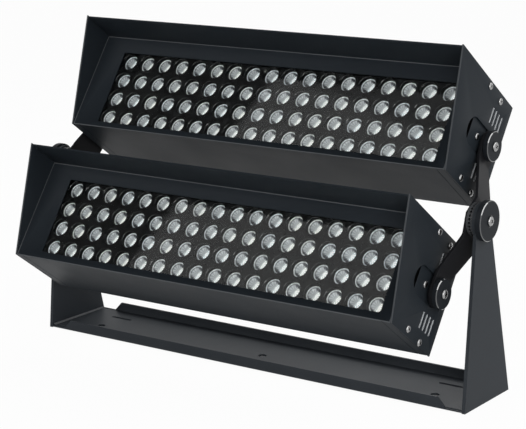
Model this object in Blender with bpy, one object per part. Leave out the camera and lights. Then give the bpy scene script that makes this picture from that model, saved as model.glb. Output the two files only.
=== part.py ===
"""Twin-head LED floodlight on a floor yoke.

Two identical lamp heads, each with 72 lenses behind flat glass and a visor, hang between two
cranked swing arms.  Each arm turns on a toothed hub at the top of a one-piece steel yoke.
Units are metres.  X runs along the heads, -Y is the side that the light leaves from, +Z is up,
and the origin is the centre of the yoke's underside.
"""
import math

import bmesh
import bpy
from mathutils import Vector

# Clearances
SEAT_GAP = 0.0003            # between two pieces that rest on each other
BORE_GAP = 0.0004            # round a screw shank, all round
CUT_PAST = 0.001             # how far a cutter runs past what it cuts

# Lens field of one head, with as many columns and rows as the frame's opening holds
LENS_PITCH_X = 0.032
LENS_PITCH_Z = 0.0307
LENS_RADIUS = 0.012
LENS_RISE = 0.0006           # lens front ahead of its carrier, at the rear of the mask's hole
LENS_SIDES = 6
LENS_TAPER = 0.0004

# Lamp head, in its own frame: X along it, Y to the rear, Z up the glass
HEAD_TILT = math.radians(35.4)
HEAD_TOP = 0.0786
HEAD_BOTTOM = -0.0731
HEAD_FRONT = -0.0208
HEAD_REAR = 0.0976
SHEET = 0.0025               # side plates and visor
VISOR_TIP = -0.0783
VISOR_REAR = 0.028
FRAME_REAR = 0.0111
FRAME_RIM = 0.0015           # flat rim round the frame's front
FRAME_SIDE = 0.0279          # from the frame's opening to its left and right ends
FRAME_FOOT = 0.01405         # from the frame's opening to its underside
FIELD_MARGIN = 0.0008        # least room from a lens edge to the frame's opening
FRAME_LIP_FRONT = -0.0043
FRAME_LIP = 0.001
GLASS_OVERLAP = 0.005        # how far the frame's lip laps the glass
GLASS_THICKNESS = 0.003
GASKET_THICKNESS = 0.0066    # from the glass back to the lens carrier
GASKET_WIDTH = 0.004
MASK_THICKNESS = 0.0066
CARRIER_THICKNESS = 0.002
BOARD_THICKNESS = 0.0016
POCKET_GAP = 0.0005          # round the glass, gasket and mask
HOUSING_WALL = 0.003
END_CAP_THICKNESS = 0.012
REAR_COVER_THICKNESS = 0.0022
REAR_COVER_TO_GLAND = 0.0085
REAR_COVER_MARGIN = 0.014    # to the housing's top and bottom
SINK_BASE = 0.005
SINK_FIN_HEIGHT = 0.03
SINK_FIN_THICKNESS = 0.0022
SINK_FINS = 24
DRIVER_LENGTH = 0.3
DRIVER_HEIGHT = 0.09
DRIVER_DEPTH = 0.031
GLAND_FROM_END = 0.0196      # gland's centre from the housing's right end
GLAND_Z = -0.03
GLAND_THREAD_RADIUS = 0.0077
GLAND_HEX_RADIUS = 0.0125
GLAND_HEX_LENGTH = 0.006
GLAND_DOME_RADIUS = 0.0098
GLAND_LENGTH = 0.0175
GLAND_SHOULDER = 0.75        # where the dome draws in, as a share of the gland's length
GLAND_MOUTH = 0.7            # radius of its end, as a share of the dome's radius
GLAND_BORE_RADIUS = 0.0045

# Side plate's window and vents
WINDOW_FRONT_CENTRE = 0.017
WINDOW_RADIUS = 0.020
VENT_FIRST = 0.048
VENT_PITCH = 0.0098
VENTS = 4
VENT_WIDTH = 0.003
VENT_LENGTH = 0.0235
VENT_NEAR = 0.0295           # vent's near end from the pivot's height

# Head pivot, in the head's frame
PIVOT_Y = 0.057
PIVOT_Z = 0.0008
BOSS_RADIUS = 0.014
ARM_TO_SIDE_PLATE = 0.0025
KNOB_RADIUS = 0.0205
KNOB_THICKNESS = 0.0077
KNOB_CHAMFER = 0.001
PIVOT_SCREW_RADIUS = 0.003
SCREW_HEAD_RADIUS = 0.0065
SCREW_HEAD_HEIGHT = 0.0027
SCREW_CROWN = 0.55           # flat top's radius, as a share of the head's radius
SCREW_SHOULDER = (0.7, 0.88)  # height and radius where the crown starts, as shares of the head's
SCREW_EDGE = 0.3             # height of the upright edge, as a share of the head's height
PIVOT_SCREW_BITE = 0.009     # length inside the end cap

# Yoke
YOKE_WIDTH = 0.7176          # over the two uprights
YOKE_DEPTH = 0.1236
YOKE_SHEET = 0.003
FLANGE_HEIGHT = 0.0162
FLANGE_INSET = 0.0294        # from the upright's outer face to the flange's end along the bottom
FLANGE_CHAMFER = 0.0134
UPRIGHT_THICKNESS = 0.005
HUB_Y = -0.022
HUB_Z = 0.2515
UPRIGHT_HEAD_RADIUS = 0.024
UPRIGHT_NECK_RADIUS = 0.0175  # the sloping edges run at a tangent to this circle
FLOOR_HOLE_RADIUS = 0.006
FLOOR_HOLE_INSET = 0.0678    # from the upright's outer face to the hole's centre
FLOOR_HOLE_Y = -0.020
CENTRE_HOLE_Y = -0.0075
FLOOR_SLOT_INSET = 0.0688    # from the upright's outer face to the slot's centre
FLOOR_SLOT_Y = 0.027
FLOOR_SLOT_LENGTH = 0.038
FLOOR_SLOT_WIDTH = 0.006

# Hub
HUB_CAP_RADIUS = 0.027
HUB_CAP_THICKNESS = 0.0087
HUB_CAP_CHAMFER = 0.0015
RATCHET_RADIUS = 0.022
RATCHET_INNER_RADIUS = 0.0135
RATCHET_PLATE = 0.0029
RATCHET_TOOTH = 0.0015
RATCHET_TEETH = 15
HUB_BOLT_RADIUS = 0.004
HUB_NUT_RADIUS = 0.0085
HUB_NUT_HEIGHT = 0.0055
HUB_BOLT_END = 0.0008        # bolt past the nut

# Swing arms: pivots measured from the hub, along the world's Y and Z
ARM_THICKNESS = 0.004
ARM_CRANK = 0.0219           # how much further out the arm lies at the hub than at its pivots
UPPER_PIVOT = (0.0809, 0.0808)
LOWER_PIVOT = (-0.0499, -0.0917)
ARM_END_RADIUS = 0.020
ARM_HUB_FRONT = 0.019
ARM_HUB_REAR = 0.040
UPPER_END_FLAT = 0.0235      # flat end, from the pivot's centre to the bend
UPPER_END_WIDTHS = (0.015, 0.0225)
UPPER_HUB_FLAT = 0.027
UPPER_HUB_WIDTHS = (0.013, 0.044)
LOWER_END_FLAT = 0.026
LOWER_END_WIDTHS = (0.017, 0.026)
LOWER_HUB_FLAT = 0.026
LOWER_HUB_WIDTHS = (0.014, 0.037)

ROUND_SIDES = 24
SMALL_SIDES = 12
NUT_SIDES = 6
SMOOTH_ANGLE = math.radians(35)  # edges flatter than this are shaded smooth
SIDES = (("left", -1), ("right", 1))

# Places that follow from the sizes above.  Along X they run inwards: yoke, hub, arms, heads, lenses.
upright_outer = YOKE_WIDTH / 2
upright_inner = upright_outer - UPRIGHT_THICKNESS
yoke_ratchet_tip = upright_inner - SEAT_GAP - RATCHET_PLATE - RATCHET_TOOTH
arm_ratchet_tip = yoke_ratchet_tip - SEAT_GAP
hub_arm_outer = arm_ratchet_tip - RATCHET_TOOTH - RATCHET_PLATE - SEAT_GAP
hub_arm_inner = hub_arm_outer - ARM_THICKNESS
hub_cap_outer = upright_outer + SEAT_GAP + HUB_CAP_THICKNESS
hub_nut_inner = hub_arm_inner - SEAT_GAP - HUB_NUT_HEIGHT
pivot_arm_outer = hub_arm_outer - ARM_CRANK
pivot_arm_inner = pivot_arm_outer - ARM_THICKNESS
knob_outer = pivot_arm_outer + SEAT_GAP + KNOB_THICKNESS
half_width = pivot_arm_inner - ARM_TO_SIDE_PLATE
cap_outer = half_width - SHEET - SEAT_GAP
cap_inner = cap_outer - END_CAP_THICKNESS
housing_half = cap_inner - SEAT_GAP
gland_x = housing_half - GLAND_FROM_END
rear_cover_half = gland_x - GLAND_HEX_RADIUS - REAR_COVER_TO_GLAND
body_top = HEAD_TOP - SHEET - SEAT_GAP
opening_half_x = cap_outer - FRAME_SIDE
opening_half_z = min(body_top, -HEAD_BOTTOM) - FRAME_FOOT
lens_columns = 1 + int(2 * (opening_half_x - FIELD_MARGIN - LENS_RADIUS) / LENS_PITCH_X)
lens_rows = 1 + int(2 * (opening_half_z - FIELD_MARGIN - LENS_RADIUS) / LENS_PITCH_Z)
pane_half_x = opening_half_x + GLASS_OVERLAP
pane_half_z = opening_half_z + GLASS_OVERLAP
lip_rear = FRAME_LIP_FRONT + FRAME_LIP
glass_front = lip_rear + SEAT_GAP
mask_front = glass_front + GLASS_THICKNESS + SEAT_GAP
carrier_front = mask_front + max(MASK_THICKNESS, GASKET_THICKNESS) + SEAT_GAP
board_front = carrier_front + CARRIER_THICKNESS + SEAT_GAP
sink_front = max(FRAME_REAR, board_front + BOARD_THICKNESS) + SEAT_GAP
housing_rear = HEAD_REAR - REAR_COVER_THICKNESS - SEAT_GAP


def clear_scene():
    for old in list(bpy.data.objects):
        bpy.data.objects.remove(old, do_unlink=True)


def finish(name, colour, roughness, metallic=0.0, transmission=0.0):
    """One Principled material with the finish of a piece."""
    material = bpy.data.materials.new(name)
    material.use_nodes = True
    shader = material.node_tree.nodes["Principled BSDF"]
    shader.inputs["Base Color"].default_value = (*colour, 1.0)
    shader.inputs["Roughness"].default_value = roughness
    shader.inputs["Metallic"].default_value = metallic
    shader.inputs["Transmission Weight"].default_value = transmission
    return material


FINISHES = {
    "coat": ((0.020, 0.024, 0.028), 0.46, 0.0, 0.0),
    "steel": ((0.62, 0.61, 0.59), 0.28, 1.0, 0.0),
    "glass": ((0.90, 0.93, 0.92), 0.03, 0.0, 0.9),
    "rubber": ((0.015, 0.015, 0.016), 0.75, 0.0, 0.0),
    "mask": ((0.010, 0.011, 0.012), 0.5, 0.0, 0.0),
    "lens": ((0.78, 0.80, 0.81), 0.12, 0.0, 0.3),
    "board": ((0.72, 0.73, 0.70), 0.5, 0.0, 0.0),
    "bare_aluminium": ((0.55, 0.56, 0.57), 0.4, 1.0, 0.0),
    "nylon": ((0.02, 0.02, 0.021), 0.55, 0.0, 0.0),
}


def place(name, shape, finish_name, parent, location=(0.0, 0.0, 0.0)):
    """Turn a bmesh into a named object with its own material under a parent."""
    mesh = bpy.data.meshes.new(name)
    bmesh.ops.recalc_face_normals(shape, faces=shape.faces)
    shape.to_mesh(mesh)
    shape.free()
    mesh.materials.append(finish(name + "_finish", *FINISHES[finish_name]))
    mesh.shade_smooth()
    mesh.set_sharp_from_angle(angle=SMOOTH_ANGLE)
    body = bpy.data.objects.new(name, mesh)
    bpy.context.scene.collection.objects.link(body)
    body.parent = parent
    body.location = location
    return body


def cutter(name, shape, parent, location=(0.0, 0.0, 0.0)):
    """A guide that only cuts, or only adds to, another piece."""
    tool = place(name, shape, "mask", parent, location)
    tool.hide_render = True
    tool.display_type = "WIRE"
    return tool


def combine(body, tool, operation="DIFFERENCE"):
    step = body.modifiers.new(tool.name, "BOOLEAN")
    step.operation = operation
    step.solver = "EXACT"
    step.object = tool


def frame_at(name, location, tilt=0.0, parent=None):
    """An empty that stands on a joint's axis."""
    empty = bpy.data.objects.new(name, None)
    bpy.context.scene.collection.objects.link(empty)
    empty.location = location
    empty.rotation_euler = (tilt, 0.0, 0.0)
    empty.parent = parent
    return empty


def block(low, high):
    """A box between two corners."""
    shape = bmesh.new()
    corners = [[shape.verts.new((x, y, z)) for y, z in
                ((low[1], low[2]), (high[1], low[2]), (high[1], high[2]), (low[1], high[2]))]
               for x in (low[0], high[0])]
    skin_loops(shape, corners)
    return shape


def skin_loops(shape, loops, closed=False):
    """Bridge a row of equal vertex loops, and cap both ends unless the row is closed."""
    count = len(loops[0])
    pairs = list(zip(loops, loops[1:]))
    if closed:
        pairs.append((loops[-1], loops[0]))
    for first, second in pairs:
        for index in range(count):
            following = (index + 1) % count
            shape.faces.new((first[index], first[following], second[following], second[index]))
    if not closed:
        shape.faces.new(loops[0][::-1])
        shape.faces.new(loops[-1])


def slab(outline, x_low, x_high):
    """A flat plate: an outline in Y and Z, between two places along X."""
    shape = bmesh.new()
    skin_loops(shape, [[shape.verts.new((x, y, z)) for y, z in outline] for x in (x_low, x_high)])
    return shape


def turned(profile, sides, axis="X", closed=False):
    """A turned piece from (distance along the axis, radius) pairs."""
    shape = bmesh.new()
    loops = []
    for along, radius in profile:
        loop = []
        for index in range(sides):
            angle = 2 * math.pi * index / sides
            across, up = radius * math.cos(angle), radius * math.sin(angle)
            spot = (along, across, up) if axis == "X" else (across, along, up)
            loop.append(shape.verts.new(spot))
        loops.append(loop)
    skin_loops(shape, loops, closed)
    return shape


def washer_profile(low, high, radius, bore, chamfer=0.0, chamfer_at_high=True):
    """Closed profile of a ring along its axis, with one chamfered rim."""
    if not chamfer:
        return [(low, bore), (low, radius), (high, radius), (high, bore)]
    if chamfer_at_high:
        return [(low, bore), (low, radius), (high - chamfer, radius), (high, radius - chamfer), (high, bore)]
    return [(low, bore), (low, radius - chamfer), (low + chamfer, radius), (high, radius), (high, bore)]


def spread(side, low, high):
    """The two ends of a span along X, on the right (1) or left (-1) side, in rising order."""
    return tuple(sorted((side * low, side * high)))


def arc(centre, radius, start, end, steps):
    """Points of an arc in Y and Z, angles in degrees."""
    points = []
    for index in range(steps + 1):
        angle = math.radians(start + (end - start) * index / steps)
        points.append((centre[0] + radius * math.cos(angle), centre[1] + radius * math.sin(angle)))
    return points


def ring_of_boxes(rear, front, half_x, z_low, z_high, inner_half_x, inner_half_z):
    """A flat rectangular ring with a rectangular hole."""
    shape = bmesh.new()
    loops = [rectangle_loop(shape, y, *size) for y, size in (
        (rear, (half_x, z_low, z_high)),
        (front, (half_x, z_low, z_high)),
        (front, (inner_half_x, -inner_half_z, inner_half_z)),
        (rear, (inner_half_x, -inner_half_z, inner_half_z)))]
    skin_loops(shape, loops, closed=True)
    return shape


def rectangle_loop(shape, y, half_x, z_low, z_high):
    return [shape.verts.new((x, y, z)) for x, z in
            ((-half_x, z_low), (half_x, z_low), (half_x, z_high), (-half_x, z_high))]


# Screws and bolts


def screw(side, head_seat, shank_radius, shank_end):
    """A pan-head screw: domed head outside its seat, shank running inwards."""
    shoulder_height, shoulder_radius = SCREW_SHOULDER
    return turned([
        (side * (head_seat + SCREW_HEAD_HEIGHT), SCREW_HEAD_RADIUS * SCREW_CROWN),
        (side * (head_seat + SCREW_HEAD_HEIGHT * shoulder_height), SCREW_HEAD_RADIUS * shoulder_radius),
        (side * (head_seat + SCREW_HEAD_HEIGHT * SCREW_EDGE), SCREW_HEAD_RADIUS),
        (side * head_seat, SCREW_HEAD_RADIUS),
        (side * head_seat, shank_radius),
        (side * shank_end, shank_radius)], SMALL_SIDES)


# Lamp head


def lens_places():
    for row in range(lens_rows):
        for column in range(lens_columns):
            yield ((column - (lens_columns - 1) / 2) * LENS_PITCH_X,
                   (row - (lens_rows - 1) / 2) * LENS_PITCH_Z)


def lens_studs(front, rear, front_radius, rear_radius):
    """One short stud at each lens place, as separate closed solids in one mesh."""
    shape = bmesh.new()
    angles = [(index + 0.5) * 2 * math.pi / LENS_SIDES for index in range(LENS_SIDES)]
    for x, z in lens_places():
        loops = []
        for y, radius in ((front, front_radius), (rear, rear_radius)):
            loops.append([shape.verts.new((x + radius * math.cos(angle), y, z + radius * math.sin(angle)))
                          for angle in angles])
        skin_loops(shape, loops)
    return shape


def front_frame():
    """Cast frame whose inner walls slope in from the rim to the glass."""
    shape = bmesh.new()
    rim_half_x = cap_outer - FRAME_RIM
    pocket_x = pane_half_x + POCKET_GAP
    pocket_z = pane_half_z + POCKET_GAP
    sections = (
        (FRAME_REAR, (cap_outer, HEAD_BOTTOM, body_top)),
        (HEAD_FRONT, (cap_outer, HEAD_BOTTOM, body_top)),
        (HEAD_FRONT, (rim_half_x, HEAD_BOTTOM + FRAME_RIM, body_top - FRAME_RIM)),
        (FRAME_LIP_FRONT, (opening_half_x, -opening_half_z, opening_half_z)),
        (lip_rear, (opening_half_x, -opening_half_z, opening_half_z)),
        (lip_rear, (pocket_x, -pocket_z, pocket_z)),
        (FRAME_REAR, (pocket_x, -pocket_z, pocket_z)))
    skin_loops(shape, [rectangle_loop(shape, y, *size) for y, size in sections], closed=True)
    return shape


def heat_sink():
    """Extruded comb: a base plate with fins that run up the head."""
    low, high = HEAD_BOTTOM + HOUSING_WALL + SEAT_GAP, body_top - HOUSING_WALL - SEAT_GAP
    half = housing_half - SEAT_GAP
    base_rear = sink_front + SINK_BASE
    fin_rear = base_rear + SINK_FIN_HEIGHT
    pitch = (2 * half - SINK_FIN_THICKNESS) / (SINK_FINS - 1)
    comb = [(-half, sink_front), (half, sink_front)]
    for index in reversed(range(SINK_FINS)):
        left = -half + index * pitch
        right = left + SINK_FIN_THICKNESS
        if index < SINK_FINS - 1:
            comb.append((right, base_rear))
        comb += [(right, fin_rear), (left, fin_rear)]
        if index > 0:
            comb.append((left, base_rear))
    shape = bmesh.new()
    skin_loops(shape, [[shape.verts.new((x, y, z)) for x, y in comb] for z in (low, high)])
    return shape


def housing_profile():
    """Channel that is open to the front: bottom, rear wall and top."""
    wall = HOUSING_WALL
    front = sink_front
    return [(front, HEAD_BOTTOM), (housing_rear, HEAD_BOTTOM), (housing_rear, body_top), (front, body_top),
            (front, body_top - wall), (housing_rear - wall, body_top - wall),
            (housing_rear - wall, HEAD_BOTTOM + wall), (front, HEAD_BOTTOM + wall)]


def side_plate_outline():
    """Slanted edge from the visor's tip down to the frame, square to the rear."""
    return [(VISOR_TIP, HEAD_TOP), (HEAD_FRONT, HEAD_BOTTOM),
            (HEAD_REAR, HEAD_BOTTOM), (HEAD_REAR, HEAD_TOP)]


def window_outline():
    """Round-ended window from the pivot forwards."""
    return (arc((PIVOT_Y, PIVOT_Z), WINDOW_RADIUS, -90, 90, SMALL_SIDES // 2)
            + arc((WINDOW_FRONT_CENTRE, PIVOT_Z), WINDOW_RADIUS, 90, 270, SMALL_SIDES // 2))


def vent_slots(x_low, x_high):
    """Two groups of upright slots, above and below the pivot."""
    shape = bmesh.new()
    for direction in (1, -1):
        for index in range(VENTS):
            middle = VENT_FIRST + index * VENT_PITCH
            ends = sorted((PIVOT_Z + direction * VENT_NEAR, PIVOT_Z + direction * (VENT_NEAR + VENT_LENGTH)))
            front, rear = middle - VENT_WIDTH / 2, middle + VENT_WIDTH / 2
            outline = ((front, ends[0]), (rear, ends[0]), (rear, ends[1]), (front, ends[1]))
            skin_loops(shape, [[shape.verts.new((x, y, z)) for y, z in outline] for x in (x_low, x_high)])
    return shape


def cable_gland():
    """Turned gland: thread through the rear wall, hexagon, domed nut and an open bore."""
    wall_inside = housing_rear - HOUSING_WALL
    seat = housing_rear + SEAT_GAP
    return turned([
        (wall_inside, GLAND_BORE_RADIUS),
        (wall_inside, GLAND_THREAD_RADIUS),
        (seat, GLAND_THREAD_RADIUS),
        (seat, GLAND_HEX_RADIUS),
        (seat + GLAND_HEX_LENGTH, GLAND_HEX_RADIUS),
        (seat + GLAND_HEX_LENGTH, GLAND_DOME_RADIUS),
        (seat + GLAND_LENGTH * GLAND_SHOULDER, GLAND_DOME_RADIUS),
        (seat + GLAND_LENGTH, GLAND_DOME_RADIUS * GLAND_MOUTH),
        (seat + GLAND_LENGTH, GLAND_BORE_RADIUS)], SMALL_SIDES, axis="Y", closed=True)


def head_piece(prefix, pivot, name, shape, finish_name):
    """Place a piece that is drawn in the head's frame."""
    return place(f"{prefix}_{name}", shape, finish_name, pivot, (0.0, -PIVOT_Y, -PIVOT_Z))


def head_cutter(prefix, pivot, name, shape):
    """A cutter that is drawn in the head's frame."""
    return cutter(f"{prefix}_{name}", shape, pivot, (0.0, -PIVOT_Y, -PIVOT_Z))


def lens_stack(prefix, pivot):
    """Glass, gasket round the mask, lens array and board, from the front to the rear."""
    head_piece(prefix, pivot, "glass", block(
        (-pane_half_x, glass_front, -pane_half_z),
        (pane_half_x, glass_front + GLASS_THICKNESS, pane_half_z)), "glass")
    mask_half_x = pane_half_x - GASKET_WIDTH - SEAT_GAP
    mask_half_z = pane_half_z - GASKET_WIDTH - SEAT_GAP
    head_piece(prefix, pivot, "gasket", ring_of_boxes(
        mask_front + GASKET_THICKNESS, mask_front, pane_half_x, -pane_half_z, pane_half_z,
        mask_half_x + SEAT_GAP, mask_half_z + SEAT_GAP), "rubber")

    mask_rear = mask_front + MASK_THICKNESS
    mask = head_piece(prefix, pivot, "lens_mask", block(
        (-mask_half_x, mask_front, -mask_half_z), (mask_half_x, mask_rear, mask_half_z)), "mask")
    hole = LENS_RADIUS + BORE_GAP
    combine(mask, head_cutter(prefix, pivot, "mask_holes", lens_studs(
        mask_front - CUT_PAST, mask_rear + CUT_PAST, hole, hole)))

    carrier_rear = carrier_front + CARRIER_THICKNESS
    lenses = head_piece(prefix, pivot, "lens_array", block(
        (-pane_half_x, carrier_front, -pane_half_z),
        (pane_half_x, carrier_rear, pane_half_z)), "lens")
    combine(lenses, head_cutter(prefix, pivot, "lens_studs", lens_studs(
        carrier_front - LENS_RISE, carrier_rear - CARRIER_THICKNESS / 2,
        LENS_RADIUS, LENS_RADIUS - LENS_TAPER)), "UNION")
    head_piece(prefix, pivot, "led_board", block(
        (-pane_half_x, board_front, -pane_half_z),
        (pane_half_x, board_front + BOARD_THICKNESS, pane_half_z)), "board")


def casing(prefix, pivot):
    """Housing channel with its gland, driver, rear cover and visor."""
    gland_spot = (gland_x, -PIVOT_Y, GLAND_Z - PIVOT_Z)
    housing = head_piece(prefix, pivot, "housing", slab(
        housing_profile(), -housing_half, housing_half), "coat")
    gland_hole = GLAND_THREAD_RADIUS + BORE_GAP
    combine(housing, cutter(prefix + "_gland_hole", turned(
        [(housing_rear - 2 * HOUSING_WALL, gland_hole), (housing_rear + HOUSING_WALL, gland_hole)],
        SMALL_SIDES, axis="Y"), pivot, gland_spot))
    place(prefix + "_cable_gland", cable_gland(), "nylon", pivot, gland_spot)

    driver_rear = housing_rear - HOUSING_WALL - SEAT_GAP
    head_piece(prefix, pivot, "driver_box", block(
        (-DRIVER_LENGTH / 2, driver_rear - DRIVER_DEPTH, -DRIVER_HEIGHT / 2),
        (DRIVER_LENGTH / 2, driver_rear, DRIVER_HEIGHT / 2)), "bare_aluminium")
    head_piece(prefix, pivot, "rear_cover", block(
        (-rear_cover_half, housing_rear + SEAT_GAP, HEAD_BOTTOM + REAR_COVER_MARGIN),
        (rear_cover_half, HEAD_REAR, body_top - REAR_COVER_MARGIN)), "coat")
    head_piece(prefix, pivot, "visor", block(
        (-cap_outer, VISOR_TIP + SHEET, HEAD_TOP - SHEET),
        (cap_outer, VISOR_REAR, HEAD_TOP)), "coat")


def cheek(prefix, pivot, word, side):
    """End cap and side plate of one end, with the boss, knob and screw on the pivot's axis."""
    bore = PIVOT_SCREW_RADIUS + BORE_GAP
    screw_end = cap_outer - PIVOT_SCREW_BITE
    near, far = spread(side, cap_inner, cap_outer)
    cap = head_piece(prefix, pivot, "end_cap_" + word, block(
        (near, sink_front, HEAD_BOTTOM), (far, housing_rear, body_top)), "coat")
    combine(cap, cutter(prefix + "_cap_bore_" + word, turned(
        [(side * (screw_end - SEAT_GAP), bore), (side * (cap_outer + SHEET), bore)],
        SMALL_SIDES), pivot))

    plate = head_piece(prefix, pivot, "side_plate_" + word, slab(
        side_plate_outline(), *spread(side, half_width - SHEET, half_width)), "coat")
    reach = spread(side, half_width - 2 * SHEET, half_width + SHEET)
    combine(plate, head_cutter(prefix, pivot, "window_" + word, slab(window_outline(), *reach)))
    combine(plate, head_cutter(prefix, pivot, "vents_" + word, vent_slots(*reach)))

    place(prefix + "_pivot_boss_" + word, turned(washer_profile(
        *spread(side, cap_outer + SEAT_GAP, pivot_arm_inner - SEAT_GAP), BOSS_RADIUS, bore),
        SMALL_SIDES, closed=True), "steel", pivot)
    place(prefix + "_knob_" + word, turned(washer_profile(
        *spread(side, pivot_arm_outer + SEAT_GAP, knob_outer), KNOB_RADIUS, bore,
        KNOB_CHAMFER, side > 0), ROUND_SIDES, closed=True), "coat", pivot)
    place(prefix + "_pivot_screw_" + word, screw(
        side, knob_outer + SEAT_GAP, PIVOT_SCREW_RADIUS, screw_end), "steel", pivot)


def lamp_head(prefix, pivot):
    """All pieces of one head.  The parent empty stands on the head's pivot axis."""
    head_piece(prefix, pivot, "front_frame", front_frame(), "coat")
    lens_stack(prefix, pivot)
    head_piece(prefix, pivot, "heat_sink", heat_sink(), "bare_aluminium")
    casing(prefix, pivot)
    for word, side in SIDES:
        cheek(prefix, pivot, word, side)


# Swing arms


def leg_rows(pivot, end_flat, end_widths, hub_flat, hub_widths):
    """Rows across one leg, from its pivot to the hub: front point, rear point and the outer face's X."""
    run = Vector(pivot)
    length = run.length
    along = -run / length
    front = Vector((along.y, -along.x))
    if front.x > 0:
        front = -front
    rows = []
    for distance, widths, x in (
            (0.0, (ARM_END_RADIUS, ARM_END_RADIUS), pivot_arm_outer),
            (end_flat, end_widths, pivot_arm_outer),
            (length - hub_flat, hub_widths, hub_arm_outer)):
        middle = run + along * distance
        rows.append((middle + front * widths[0], middle - front * widths[1], x))
    return rows


def swing_arm(side):
    """Cranked flat bar: both ends lie close to the heads, the middle lies out at the hub."""
    upper = leg_rows(UPPER_PIVOT, UPPER_END_FLAT, UPPER_END_WIDTHS, UPPER_HUB_FLAT, UPPER_HUB_WIDTHS)
    lower = leg_rows(LOWER_PIVOT, LOWER_END_FLAT, LOWER_END_WIDTHS, LOWER_HUB_FLAT, LOWER_HUB_WIDTHS)
    span = (Vector(UPPER_PIVOT) - Vector(LOWER_PIVOT)).normalized()
    front = Vector((-span.y, span.x))
    hub_row = (front * ARM_HUB_FRONT, -front * ARM_HUB_REAR, hub_arm_outer)
    rows = upper + [hub_row] + lower[::-1]

    def round_end(pivot, row):
        """Points of the half circle from the row's front point to its rear point, round the outside."""
        centre = Vector(pivot)
        start = row[0] - centre
        outward = centre.normalized() * ARM_END_RADIUS
        steps = SMALL_SIDES // 2
        return [centre + start * math.cos(math.pi * k / steps) + outward * math.sin(math.pi * k / steps)
                for k in range(1, steps)]

    shape = bmesh.new()
    outlines = []
    for inset in (0.0, ARM_THICKNESS):
        points = [[shape.verts.new((side * (x - inset), spot.x, spot.y)) for spot in (near, far)]
                  for near, far, x in rows]
        top_arc = [shape.verts.new((side * (rows[0][2] - inset), spot.x, spot.y))
                   for spot in round_end(UPPER_PIVOT, rows[0])]
        low_arc = [shape.verts.new((side * (rows[-1][2] - inset), spot.x, spot.y))
                   for spot in round_end(LOWER_PIVOT, rows[-1])]
        shape.faces.new([points[0][0]] + top_arc + [points[0][1]])
        shape.faces.new([points[-1][0]] + low_arc + [points[-1][1]])
        for first, second in zip(points, points[1:]):
            shape.faces.new((first[0], first[1], second[1], second[0]))
        outlines.append([row[0] for row in points] + low_arc + [row[1] for row in points[::-1]]
                        + top_arc[::-1])
    outer, inner = outlines
    for index, corner in enumerate(outer):
        following = (index + 1) % len(outer)
        shape.faces.new((corner, outer[following], inner[following], inner[index]))
    return shape


def arm_with_holes(word, side, hub_axis):
    arm = place("swing_arm_" + word, swing_arm(side), "coat", hub_axis)
    holes = ((UPPER_PIVOT, PIVOT_SCREW_RADIUS, pivot_arm_inner, pivot_arm_outer),
             (LOWER_PIVOT, PIVOT_SCREW_RADIUS, pivot_arm_inner, pivot_arm_outer),
             ((0.0, 0.0), HUB_BOLT_RADIUS, hub_arm_inner, hub_arm_outer))
    for number, (spot, radius, inner, outer) in enumerate(holes):
        profile = [(side * (inner - ARM_THICKNESS), radius + BORE_GAP),
                   (side * (outer + ARM_THICKNESS), radius + BORE_GAP)]
        hole = turned(profile, SMALL_SIDES)
        combine(arm, cutter(f"arm_hole_{word}_{number}", hole, hub_axis, (0.0, *spot)))


# Yoke and hub


def upright_outline():
    """Tapered plate with a round head; each sloping edge runs at a tangent to the neck circle."""
    centre = Vector((HUB_Y, HUB_Z))
    head_angles = []
    for foot_y, turn in ((YOKE_DEPTH / 2, 1), (-YOKE_DEPTH / 2, -1)):
        foot = Vector((foot_y, 0.0))
        run = centre - foot
        tilt = math.asin(UPRIGHT_NECK_RADIUS / run.length)
        heading = math.atan2(run.y, run.x) - turn * tilt
        reach = run.length * math.cos(tilt) - math.sqrt(UPRIGHT_HEAD_RADIUS ** 2 - UPRIGHT_NECK_RADIUS ** 2)
        meet = foot + Vector((math.cos(heading), math.sin(heading))) * reach
        head_angles.append(math.degrees(math.atan2(meet.y - HUB_Z, meet.x - HUB_Y)))
    start, end = head_angles[0], head_angles[1] + 360
    head = arc((HUB_Y, HUB_Z), UPRIGHT_HEAD_RADIUS, start, end, ROUND_SIDES // 2)
    return [(YOKE_DEPTH / 2, 0.0)] + head + [(-YOKE_DEPTH / 2, 0.0)]


def base_channel():
    """Floor plate, which ends in the middle of each upright's thickness."""
    half = upright_outer - UPRIGHT_THICKNESS / 2
    return block((-half, -YOKE_DEPTH / 2, 0.0), (half, YOKE_DEPTH / 2, YOKE_SHEET))


def flange(front):
    """Upturned edge with its two ends cut at a slant."""
    shape = bmesh.new()
    outer = -YOKE_DEPTH / 2 if front else YOKE_DEPTH / 2
    inner = outer + (YOKE_SHEET if front else -YOKE_SHEET)
    foot = upright_outer - FLANGE_INSET
    top = foot - FLANGE_CHAMFER
    outline = ((-foot, YOKE_SHEET / 2), (foot, YOKE_SHEET / 2), (top, FLANGE_HEIGHT), (-top, FLANGE_HEIGHT))
    skin_loops(shape, [[shape.verts.new((x, y, z)) for x, z in outline] for y in (outer, inner)])
    return shape


def floor_hole(radius):
    """A cutter for a round hole."""
    return bored_upwards([(radius * math.cos(angle), radius * math.sin(angle))
                          for angle in (2 * math.pi * k / SMALL_SIDES for k in range(SMALL_SIDES))])


def bored_upwards(outline):
    """A cutter that runs up through the floor plate."""
    shape = bmesh.new()
    ends = (-YOKE_SHEET, 2 * YOKE_SHEET)
    skin_loops(shape, [[shape.verts.new((x, y, z)) for x, y in outline] for z in ends])
    return shape


def slot_outline():
    """Slot along X with round ends."""
    straight = (FLOOR_SLOT_LENGTH - FLOOR_SLOT_WIDTH) / 2
    return (arc((straight, 0.0), FLOOR_SLOT_WIDTH / 2, -90, 90, SMALL_SIDES // 4)
            + arc((-straight, 0.0), FLOOR_SLOT_WIDTH / 2, 90, 270, SMALL_SIDES // 4))


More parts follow.
